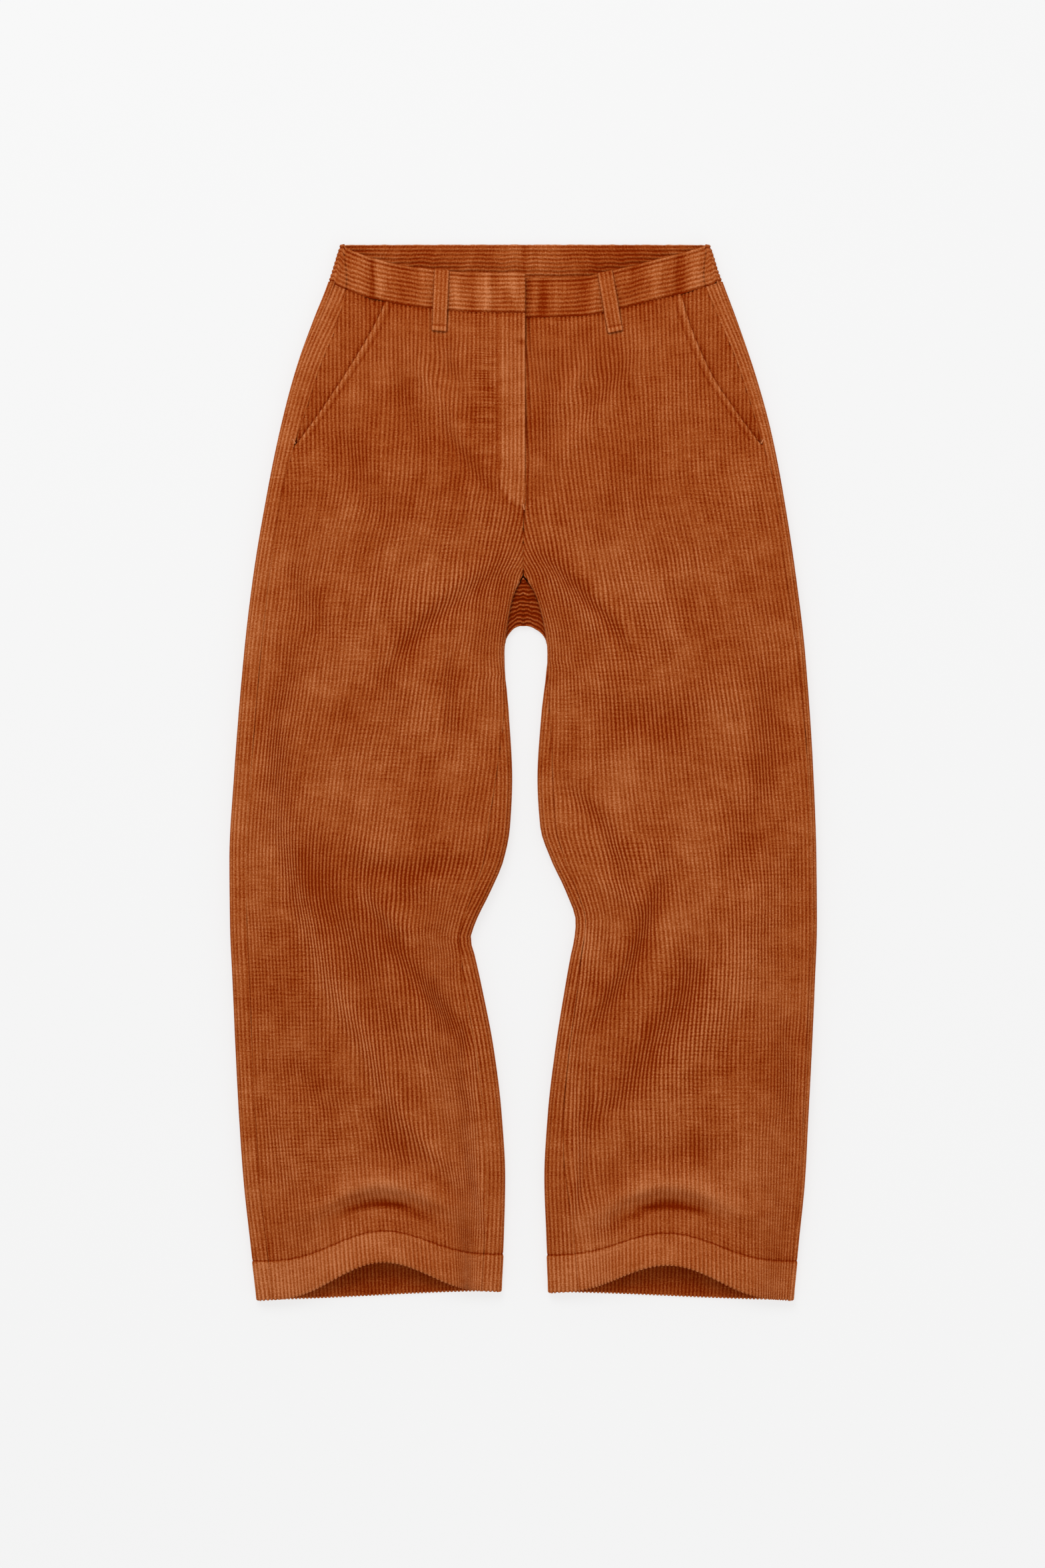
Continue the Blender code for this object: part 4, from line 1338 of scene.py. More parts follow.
@dataclass
class BackPanel(Panel):
    """A back: round both edges of its leg, and to the other back at the seat seam.

    Attributes:
        fans: rows between the arch's foot and the centre seam.
        edge_wale: the wale that runs down the leg's inner edge.
    """

    row_spacing: float = 8.2
    fans: int = 12
    edge_wale: float = 246.0

    def line(
        self, level: float, start: Sequence[float], inner: Array, bend: float, kept: float, past: float
    ) -> tuple[Array, float, float]:
        """One row as a line of points from over the side strip to past its inner end.

        Args:
            level: the level at the side.
            start: across and level where the underside meets the inner part.
            inner: the inner part's points, from the underside on.
            bend: from the inner part's start to the leg's inner edge.
            kept: how closely the wales keep to that edge.
            past: how far the points go past the row's inner end.

        Returns:
            Points with their wales, and the wales at the row's two ends.
        """
        form = self.form
        r, end = float(form.outer_radius(level)), float(form.top_end(level))
        seam = float(form.side_seam(level)) - SEAM / 2
        edge = form.around(np.linspace(seam + 9, -math.pi / 2 * r, 90), level)
        t = np.linspace(0, 1, 130)[1:-1]
        flat = form.under(end + t * (start[0] - end), level + t * (start[1] - level))
        line = np.concatenate([edge, flat, inner])
        steps = np.concatenate([[0.0], np.cumsum(np.linalg.norm(np.diff(line, axis=0), axis=1))])
        steps -= seam + 9
        turn = float(steps[len(edge) + len(flat)]) + bend
        wanted = turn + (self.edge_wale - turn) * kept
        known, drawn = [-80.0, 30.0, turn - 20, turn + 90], [-80.0, 30.0, wanted - 20, wanted + 90]
        wales = np.interp(steps, known, drawn)
        return np.column_stack([line, wales]), -seam, float(np.interp(steps[-1] - past, known, drawn))

    def leg(self, level: float) -> tuple[Array, float, float]:
        """A row of the leg, its inner end at the inseam.

        Args:
            level: the row's level.

        Returns:
            As line gives them.
        """
        form = self.form
        roll = float(form.inner_radius(level))
        start = float(form.top_start(level))
        last = float(form.at_across(start, level))
        seam = float(form.inseam(level)) + SEAM / 2
        inner = form.around(np.linspace(last + math.pi * roll, seam - 8.0, 60), level)
        return self.line(level, (start, level), inner, math.pi / 2 * roll, 1.0, 8.0)

    def arch(self, share: float) -> tuple[Array, float, float]:
        """A row through the back crotch.

        Args:
            share: 0 at the arch's foot and 1 at the seat's.

        Returns:
            As line gives them.
        """
        level = ARCH_FOOT + (SEAT_FOOT - ARCH_FOOT) * share
        inner = self.form.fan(share, 16)
        beyond = inner[-1] + unit(inner[-1] - inner[-2]) * 6.0
        bend = float(np.linalg.norm(np.diff(inner[:16], axis=0), axis=1).sum())
        return self.line(level, inner[0][:2], np.vstack([inner, beyond]), bend, 1.0, 6.0)

    def seat(self, level: float) -> tuple[Array, float, float]:
        """A row of the seat, to the seat seam.

        Args:
            level: the row's level.

        Returns:
            As line gives them.
        """
        inner = self.form.under(SEAM / 2 - np.linspace(0, 8, 8), level)
        kept = float(1 - smoothstep(level, SEAT_FOOT, 330))
        fold = float(np.linalg.norm(np.diff(self.form.fan(1.0, 16)[:16], axis=0), axis=1).sum())
        bend = 4.0 + (fold - 4.0) * float(1 - smoothstep(level, SEAT_FOOT, 260))
        return self.line(level, (SEAM / 2, level), inner, bend, kept, 8.0)

    def build(self, finish: "Finishes") -> bpy.types.Object:
        """Builds and dresses the back.

        Args:
            finish: the materials.

        Returns:
            The mesh object.
        """
        form = self.form
        first, hem = HEM_LEVEL + FOLD_RADIUS, HEM_LEVEL + HEM_DEPTH
        legs = panel_levels(self.row_spacing, first, ARCH_FOOT - 6, (hem,))
        seats = panel_levels(self.row_spacing, SEAT_FOOT + 4, WAIST_LEVEL - SEAM, ())
        rows = [self.leg(v) for v in legs]
        rows += [self.arch(s) for s in np.linspace(0, 1, self.fans)]
        rows += [self.seat(v) for v in seats]
        fan_levels = ARCH_FOOT + (SEAT_FOOT - ARCH_FOOT) * np.linspace(0, 1, self.fans)
        level = np.concatenate([legs, fan_levels, seats])
        low = np.array([row[1] for row in rows])
        high = np.array([row[2] for row in rows])
        wales = wale_columns(low.min(), high.max())
        points = np.empty((len(rows), len(wales), 3))
        for i, (line, _, _) in enumerate(rows):
            for k in range(3):
                points[i, :, k] = np.interp(wales, line[:, 3], line[:, k])
        last = len(legs) + self.fans
        normals = np.concatenate([outward(points[:last], (0, 0, -1)), outward(points[last:], (0, 0, -1))])
        cut = clipped(points, normals, wales, low, high, level - HEM_LEVEL)
        flat_part = (cut.points[..., 2] < 1.0) & (level[:, None] > 60)
        cut.along = np.where(flat_part, cut.points[..., 1] - HEM_LEVEL, cut.along)
        dropped = np.zeros((len(rows) - 1, len(wales) - 1), bool)
        dropped[last - 1] = cut.wale[last, 1:] >= high[last] - 1e-6
        cloth = hem_line(sewn(cut, low, high, 0.45, 0.5))
        rise = level[:, None]
        arch = smoothstep(level, 70, 112) * (1 - smoothstep(level, 150, 156))
        inner = smoothstep(cloth.points[..., 2], 1.0, 9.0) * (cloth.points[..., 0] < 60)
        waves = waver(cloth.wale / 2.1 + 0.05 * cloth.along, 0.8)
        near = arch[:, None] * inner
        # Painted highlight along the leg's outer roll.
        cloth.shade = cloth.shade + 0.2 * bell(cloth.wale + 8, 9)
        crest = np.abs(np.sin(math.pi * cloth.wale / PITCH))
        cloth = cloth.raised(near * (0.4 * waves + 1.0 * (crest - 0.6)))
        across, up = cloth.points[..., 0], cloth.points[..., 1]
        loose = smoothstep(high[:, None] - cloth.wale, 0.5, 9) + 0 * across
        loose = np.where(np.arange(len(level))[:, None] < last, loose, 0)
        loose = np.maximum(loose, bell(np.arange(len(level))[:, None] - last + 1, 0.5))
        cloth.points[..., 1] += 1.5 * near * loose * waver(across / 2.6 + up / 11, 0.4)
        # Between the legs the back is painted much darker, as painted shade of the crotch's hollow, with
        # painted light and shade following its ribs and waves.
        cloth.shade = cloth.shade + near * (0.6 * waves + 1.0 * (crest - 0.6) - 1.05)
        beneath = smoothstep(form.top_end(rise) - across, 0, 25) * (cloth.points[..., 2] < 3)
        cloth = cloth.raised(-0.45 * beneath * np.abs(form.creases(across, rise)))
        # The flat underside takes the creases' painted highlights and shade, but not those of the hem's
        # buckle and ridge.
        underside_shade = form.painted_relief_shade(across, rise) + 2.0 * form.pinch(across, rise)
        underside_shade = underside_shade - 0.5 * form.hem_ridge(across, rise)
        cloth.shade = cloth.shade + 0.7 * beneath * underside_shade
        ready = hemmed(cloth, -0.5)
        added = len(ready.points) - len(cloth.points)
        gone = np.concatenate([np.zeros((added, len(wales) - 1), bool), dropped])
        name = "back_" + form.side.word
        piece = sewing_grid(name, ready.ribbed(), form.side.value, self.wall, gone, form)
        dress(piece, [name], finish.pile)
        flat, area = flat_size(hemmed(cut))
        LOG.info("%s: cut %.0f by %.0f mm, %.0f cm2", name, flat[0] / MM, flat[1] / MM, area * 1e4)
        return piece


@dataclass
class PocketFacing(Panel):
    """The facing that shows in the pocket mouth and passes beneath the front."""

    row_spacing: float = 4.2

    def build(self, finish: "Finishes") -> bpy.types.Object:
        """Builds and dresses the facing.

        Args:
            finish: the materials.

        Returns:
            The mesh object.
        """
        form = self.form
        level = panel_levels(self.row_spacing, POCKET_FOOT, WAIST_LEVEL - SEAM, ())
        rows = level[:, None]
        first = form.side_seam(level) + SEAM / 2
        last = form.at_across(form.mouth(level) - FACING_UNDER, level)
        offset = form.at_across(0.0, level)
        low, high = first - offset, last - offset
        wales = wale_columns(low.min(), high.max())
        g = wales[None, :] + offset[:, None]
        mouth = form.at_across(form.mouth(level), level)[:, None]
        width = mouth - first[:, None]
        rise = 1 - smoothstep(g, first[:, None] + 0.3, mouth - 0.25 * width)
        rise = rise * smoothstep(width, 1.5, 9)
        points = form.around(g, rows)
        normals = outward(points, (0, 0, 1))
        points = points - normals * ((CLOTH + GAP) * (1 - rise))[..., None]
        cut = clipped(points, normals, wales, low, high, level - HEM_LEVEL)
        cloth = sewn(cut, low, high, 0.45, 0.0)
        hidden = np.clip(cloth.wale + offset[:, None] - mouth, -12, 4)
        # Painted shade where the facing passes beneath the front's edge and under the waistband; the whole
        # facing is a little darker too.
        cloth.shade = cloth.shade - 0.7 * bell(hidden - 1, 3.5) - 0.35 * bell(rows - WAIST_LEVEL, 4) - 0.25
        name, back = "pocket_facing_" + form.side.word, "back_" + form.side.word + "_cloth"
        return self.lay(name, cloth, cut, finish, [back])


@dataclass
class Band:
    """A waistband piece: outer face, fold over the top edge and inner face.

    Attributes:
        height: from the waist seam to the top edge.
        thickness: of both faces together.
        wall: of each face's cloth, beneath the ribs.
        spacing: between rows along the band.
    """

    height: float = BAND_TOP - WAIST_LEVEL
    thickness: float = BAND_CLOTH
    wall: float = 1.0
    spacing: float = 2.2

    def folded(self, points: Array, levels: Array, like: Sequence[float], length: Array) -> Cloth:
        """Turns a band's outer face over the top edge and down again inside.

        Args:
            points: rows along the band by levels up it.
            levels: the columns' levels.
            like: the outer face's outward direction at its middle.
            length: the rows' places along the band.

        Returns:
            The whole band's cloth.
        """
        normals = outward(points, like)
        radius = self.thickness / 2
        ends = np.minimum(np.arange(len(length)), np.arange(len(length))[::-1])[:, None, None]
        depth = self.thickness * (1 - 0.3 * bell(ends * self.spacing, 2.0))
        up = points[:, -1] - points[:, -2]
        top = normals[:, -1]
        up = unit(up - top * np.sum(up * top, axis=-1, keepdims=True))
        turns = np.radians(np.array([25, 55, 90, 125, 155]))[None, :, None]
        ways = top[:, None] * np.cos(turns) + up[:, None] * np.sin(turns)
        bulge = 0.22 * waver(length / 1.7, 0.4)[:, None, None] * np.sin(turns)
        fold = points[:, -1:] - top[:, None] * depth / 2 + ways * (depth / 2 + bulge)
        inner = points[:, ::-1] - normals[:, ::-1] * depth
        along_fold = levels[-1] + radius * turns[0, :, 0]
        inner_levels = levels[-1] + math.pi * radius + (levels[-1] - levels[::-1])
        wale = np.concatenate([levels, along_fold, inner_levels])
        count = len(length)
        return Cloth(
            np.concatenate([points, fold, inner], axis=1),
            np.concatenate([normals, ways, -normals[:, ::-1]], axis=1),
            np.tile(wale, (count, 1)), np.repeat(length[:, None], len(wale), axis=1),
            np.zeros((count, len(wale))),
        )

    def stitched(self, cloth: Cloth) -> Cloth:
        """The seam at the foot, the line by the top edge and the fold, with painted shade in their grooves,
        a painted highlight along the fold and painted light and shade following the waves.

        Args:
            cloth: the band.

        Returns:
            The stitched band.
        """
        up = cloth.wale - WAIST_LEVEL
        foot = bell(up, 1.4)
        line = bell(up - (self.height - 3.4), 0.7)
        crown = bell(up - (self.height + 1.6), 2.2)
        waves = waver(cloth.along / 2.2, 0.9)
        cross = waver(cloth.along / 5.1 + up / 17, 1.6) * smoothstep(up, 2, 9)
        found = cloth.raised(-0.7 * foot - 0.4 * line + 0.12 * waves + 0.2 * cross)
        found.shade = cloth.shade - 0.75 * foot - 0.42 * line + 0.5 * crown + 0.1 * waves + 0.12 * cross
        return found

    def wavy(self, levels: Array, length: Array) -> Array:
        """The columns' levels, undulating a little between the seam and the top edge.

        Args:
            levels: the columns' levels.
            length: the rows' places along the band.

        Returns:
            Levels, rows by columns.
        """
        t = (levels[None, :] - levels[0]) / (levels[-1] - levels[0])
        wave = 0.8 * waver(length / 8.0, 1.1) + 0.4 * waver(length / 3.4 + 2 * t, 2.7)
        return levels[None, :] + wave * np.sin(math.pi * t)

    def levels(self) -> Array:
        """Columns a quarter of a wale apart up the outer face."""
        return np.linspace(WAIST_LEVEL, BAND_TOP - self.thickness / 2, round(self.height / (PITCH / 4)))

    def sew(
        self, name: str, cloth: Cloth, sign: int, cut: tuple[float, float],
        finish: "Finishes", on: Sequence[str],
    ) -> bpy.types.Object:
        """Makes the band of its grid, dresses it and states its cut.

        Args:
            name: the piece's name, which is also its CAD node's.
            cloth: the band's cloth.
            sign: 1 on the wearer's left, -1 on the right.
            cut: length and doubled height of the cut, in millimetres.
            finish: the materials.
            on: what it lies on; not used.

        Returns:
            The mesh object.
        """
        piece = sewing_grid(name, cloth.ribbed(), sign, self.wall)
        dress(piece, [name], finish.pile)
        LOG.info("%s: cut %.0f by %.0f mm", name, cut[0], cut[1])
        return piece


@dataclass
class FrontBand(Band):
    """The waistband's front of one half; the right one laps the left at the centre."""

    side: Side = Side.RIGHT

    def build(self, form: Form, finish: "Finishes") -> bpy.types.Object:
        """Builds and dresses the band.

        Args:
            form: the laid shape of its half.
            finish: the materials.

        Returns:
            The mesh object.
        """
        levels = self.levels()
        first = form.side_seam(levels) + SEAM / 2
        last = form.inseam(levels) - GAP / 2
        span = float(np.mean(last - first))
        share = np.linspace(0, 1, round(span / self.spacing))[:, None]
        points = form.front_top(first + share * (last - first), self.wavy(levels, share * span))
        cloth = self.folded(points, levels, (0, 0, 1), share[:, 0] * span)
        cloth = self.stitched(cloth)
        right = form.side is Side.RIGHT
        cloth.shade = cloth.shade - 0.2 * bell(cloth.along, 1.6)
        across = cloth.points[..., 0]
        blotch = waver(cloth.along / 9.0, 0.4) * waver(cloth.wale / 9.0 + cloth.along / 21, 1.2)
        cloth.shade = cloth.shade - 0.02 + 0.24 * blotch
        # Painted light and shade following the band's buckles.
        cloth.shade = cloth.shade + 0.38 * form.ripples(across, np.full_like(across, WAIST_LEVEL + 12))
        if right:
            cloth.shade = cloth.shade + 0.3 * bell(span - cloth.along - 1.5, 1.6)
            cloth.shade = cloth.shade + 0.22 * (1 - smoothstep(across, 55, 75))
        else:
            cloth.shade = cloth.shade - 0.32 * (1 - smoothstep(across, 45, 70))
        name = "waistband_front_" + form.side.word
        cut = (span, 2 * self.height)
        on = ["waistband_back_cloth", "front_" + form.side.word + "_cloth"]
        return self.sew(name, cloth, form.side.value, cut, finish, on)


@dataclass
class BackBand(Band):
    """The waistband's back, from side seam to side seam; its inside shows over the front."""

    def half(self, form: Form, share: Array, levels: Array) -> Array:
        """The outer face of one half, from the centre out to its side seam.

        Args:
            form: the half's shape.
            share: 0 at the centre and 1 on the side seam.
            levels: levels.

        Returns:
            Places, on a last axis.
        """
        r, end = form.outer_radius(levels), form.top_end(levels)
        quarter = math.pi / 2 * r
        total = end + quarter + form.side_seam(levels) - SEAM / 2
        way = share * total
        beneath = form.under(np.minimum(way, end), levels)
        round_edge = form.around(-quarter + np.maximum(way - end, 0), levels)
        return np.where((way < end)[..., None], beneath, round_edge)

    def build(self, right: Form, left: Form, finish: "Finishes") -> bpy.types.Object:
        """Builds and dresses the band.

        Args:
            right: the right half's shape.
            left: the left half's shape.
            finish: the materials.

        Returns:
            The mesh object.
        """
        levels = self.levels()
        share = np.linspace(0, 1, 86)[:, None]
        halves = []
        for form in (right, left):
            points = self.half(form, share, self.wavy(levels, share * 190.0 * form.side.value))
            points[..., 0] *= form.side.value
            halves.append(points)
        points = np.concatenate([halves[0][:0:-1], halves[1]])
        steps = np.linalg.norm(np.diff(points[:, len(levels) // 2], axis=0), axis=1)
        length = np.concatenate([[0.0], np.cumsum(steps)])
        cloth = self.stitched(self.folded(points, levels, (0, 0, -1), length))
        x = cloth.points[..., 0]
        inner = smoothstep(cloth.wale, BAND_TOP, BAND_TOP + 4)
        seam = bell(x - 1.0, 1.3) * inner
        ends = smoothstep(np.abs(x), 95, 168) * inner
        hollows = bell(x + 85, 30) + bell(x - 88, 48)
        cloth = cloth.raised(-0.5 * seam)
        # The inner face is painted darker: painted shade in the centre seam's groove, and darker towards
        # the ends, in two patches and a little overall.
        cloth.shade = cloth.shade - 0.8 * seam - (0.3 * ends + 0.4 * hollows + 0.1) * inner
        cut = (float(length[-1]), 2 * self.height)
        return self.sew("waistband_back", cloth, 1, cut, finish, ["floor"])


@dataclass
class BeltLoop:
    """A belt loop: a folded strip, its wales lengthwise, tacked under at the foot.

    Attributes:
        name: its CAD node.
        top: its middle's X at the waistband's top edge.
        foot: its middle's X at its foot.
        width: of the strip.
        slack: how far it stands off halfway down.
        tack: height of the fold tacked down at the foot.
    """

    name: str
    top: float
    foot: float
    width: float = LOOP_WIDTH
    slack: float = 2.2
    tack: float = 5.5

    def shaped(self, cloth: Cloth, up: Array) -> Cloth:
        """Rounds the strip's folded edges and raises the tacked fold at its foot.

        Args:
            cloth: the strip.
            up: heights over its foot.

        Returns:
            The shaped strip.
        """
        edge = self.width / 2 - np.abs(cloth.wale)
        fold = smoothstep(up, -0.5, 0.8) * (1 - smoothstep(up, self.tack - 0.6, self.tack + 0.6))
        round_foot = smoothstep(up + 0.25 * edge, -0.5, 1.6)
        height = -1.1 * (1 - smoothstep(edge, -0.2, 2.2)) + 0.75 * fold * round_foot
        height = height - 0.6 * bell(up - self.tack - 0.9, 0.8) + 0.1 * waver(up / 2.0, 0.3)
        found = cloth.raised(height)
        # Painted highlights inside the folded edges and on the tacked fold; painted shade at the very
        # edges, in the groove over the fold and at the foot.
        found.shade = 0.3 * bell(edge - 1.0, 1.2) - 0.6 * bell(edge, 0.5) + 0.32 * fold
        found.shade = found.shade - 0.8 * bell(up - self.tack - 1.0, 0.8) - 0.5 * bell(up + 0.3, 0.6)
        return found

    def make(
        self, points: Array, like: Sequence[float], up: Array, sign: int, finish: "Finishes"
    ) -> None:
        """Makes the loop of its grid.

        Args:
            points: rows up the loop by columns across it.
            like: its outward direction.
            up: the rows' heights over the foot.
            sign: 1 on the wearer's left, -1 on the right.
            finish: the materials.
        """
        columns = points.shape[1]
        wale = np.tile(np.linspace(-self.width / 2, self.width / 2, columns), (len(up), 1))
        along = np.repeat(up[:, None], columns, axis=1)
        flat = Cloth(points, outward(points, like), wale, along, 0 * wale)
        piece = sewing_grid(self.name, self.shaped(flat, along).ribbed(0.5), sign, 0.9)
        dress(piece, [self.name], finish.pile)

    def build_front(self, form: Form, finish: "Finishes") -> None:
        """Builds the loop down a front band, standing off it halfway.

        Args:
            form: the laid shape of its half.
            finish: the materials.
        """
        levels = np.linspace(LOOP_FOOT, BAND_TOP, 58)[:, None]
        t = (levels - LOOP_FOOT) / (BAND_TOP - LOOP_FOOT)
        centre = abs(self.foot) + (abs(self.top) - abs(self.foot)) * t
        across = centre - np.linspace(-0.5, 0.5, 17) * self.width
        g = form.at_across(across, levels)
        base = form.front_top(g, levels)
        away = GAP + LOOP_CLOTH - 0.3 + self.slack * np.sin(math.pi * smoothstep(t, 0.05, 1.0)) ** 0.7
        points = base + outward(base, (0, 0, 1)) * away[..., None]
        self.make(points, (0, 0, 1), levels[:, 0] - LOOP_FOOT, form.side.value, finish)

    def build_back(self, finish: "Finishes") -> None:
        """Builds the loop pressed flat beneath the back of the waist.

        Args:
            finish: the materials.
        """
        levels = np.linspace(LOOP_FOOT, BAND_TOP, 40)
        points = np.zeros((len(levels), 17, 3))
        points[..., 0] = self.top + np.linspace(-0.5, 0.5, 17) * self.width
        points[..., 1] = levels[:, None]
        self.make(points, (0, 0, -1), levels - LOOP_FOOT, 1, finish)


@dataclass
class BarTack:
    """A close row of thread that holds a corner.

    Attributes:
        name: the piece's name.
        across: its middle's distance from the centre line.
        level: its middle's level.
        turn: degrees from across the garment.
        length: of the row.
        width: of the row.
        lift: over the front's cloth.
        threads: how many threads cross it.
    """

    name: str
    across: float
    level: float
    turn: float
    length: float = 9.0
    width: float = 1.9
    lift: float = 0.3
    threads: int = 13

    def build(self, form: Form, finish: "Finishes") -> None:
        """Builds and dresses the tack on its half.

        Args:
            form: the laid shape of its half.
            finish: the materials.
        """
        deselect()
        bpy.ops.mesh.primitive_uv_sphere_add(segments=12, ring_count=4 * self.threads, radius=1)
        piece = bpy.context.object
        piece.name = self.name
        mesh = piece.data
        mesh.name = self.name
        flat = np.empty(3 * len(mesh.vertices))
        mesh.vertices.foreach_get("co", flat)
        ball = flat.reshape(-1, 3)
        t = np.arccos(np.clip(ball[:, 2], -1, 1)) / math.pi
        ring = np.maximum(np.hypot(ball[:, 0], ball[:, 1]), 1e-9)
        full = np.minimum(1, np.minimum(t, 1 - t) / 0.04) ** 0.5
        thread = 0.8 + 0.2 * np.abs(np.sin(math.pi * t * self.threads))
        radius = self.width / 2 * full * thread
        local_x = (t - 0.5) * self.length
        local_y = radius * np.where(full > 0, ball[:, 0] / ring, 0)
        local_z = 0.55 * radius * np.where(full > 0, ball[:, 1] / ring, 0) + 0.15
        turn = math.radians(self.turn)
        across = self.across + local_x * math.cos(turn) - local_y * math.sin(turn)
        level = self.level + local_x * math.sin(turn) + local_y * math.cos(turn)
        g = form.at_across(across, level)
        base = form.front_top(g, np.asarray(level))
        base[:, 2] += self.lift + local_z
        places = base * np.array([form.side.value, 1, 1]) * MM
        mesh.vertices.foreach_set("co", places.reshape(-1))
        mesh.update()
        bpy.ops.object.mode_set(mode="EDIT")
        bpy.ops.mesh.select_all(action="SELECT")
        bpy.ops.mesh.remove_doubles(threshold=0.000002)
        bpy.ops.mesh.select_all(action="SELECT")
        bpy.ops.mesh.normals_make_consistent(inside=False)
        bpy.ops.object.mode_set(mode="OBJECT")
        bpy.ops.object.shade_smooth()
        dress(piece, [], finish.thread)


class Nodes:
    """Adds and links the nodes of one tree."""

    def __init__(self, tree: bpy.types.NodeTree) -> None:
        """Keeps the tree."""
        self.tree = tree

    def add(self, kind: str, values: Optional[dict] = None, **settings: object) -> bpy.types.Node:
        """Adds a node.

        Args:
            kind: its type.
            values: its input sockets' constants or the sockets that feed them.
            settings: its properties.

        Returns:
            The node.
        """
        node = self.tree.nodes.new(kind)
        for key, value in settings.items():
            setattr(node, key, value)
        for key, value in (values or {}).items():
            if isinstance(value, bpy.types.NodeSocket):
                self.tree.links.new(value, node.inputs[key])
            else:
                node.inputs[key].default_value = value
        return node

    def math(self, operation: str, a: object, b: object = 0.0, c: object = 0.0) -> bpy.types.NodeSocket:
        """The result of one sum on sockets or numbers."""
        return self.add("ShaderNodeMath", {0: a, 1: b, 2: c}, operation=operation).outputs[0]

    def ramp(
        self, value: object, low: float, high: float, to: float = 1.0, even: bool = False
    ) -> bpy.types.NodeSocket:
        """A step from nought at low to a value at high, smooth or even.

        Args:
            value: the socket it reads.
            low: where the step starts.
            high: where it ends.
            to: the value there.
            even: a straight step, not a soft one.

        Returns:
            The step's socket.
        """
        values = {"Value": value, "From Min": low, "From Max": high, "To Min": 0.0, "To Max": to}
        kind = "LINEAR" if even else "SMOOTHSTEP"
        return self.add("ShaderNodeMapRange", values, interpolation_type=kind).outputs[0]

    def noise(
        self, place: object, scale: float, detail: float, rough: float = 0.55
    ) -> bpy.types.NodeSocket:
        """Soft noise at a place."""
        values = {"Vector": place, "Scale": scale, "Detail": detail, "Roughness": rough}
        return self.add("ShaderNodeTexNoise", values).outputs[0]

    def stretched(self, place: object, sizes: Sequence[float]) -> bpy.types.NodeSocket:
        """A place, scaled apart along its axes."""
        values = {0: place, 1: tuple(sizes)}
        return self.add("ShaderNodeVectorMath", values, operation="MULTIPLY").outputs[0]

    def blend(self, share: object, a: object, b: object) -> bpy.types.NodeSocket:
        """Two colours mixed."""
        node = self.add("ShaderNodeMix", {0: share, 6: a, 7: b}, data_type="RGBA")
        return node.outputs[2]


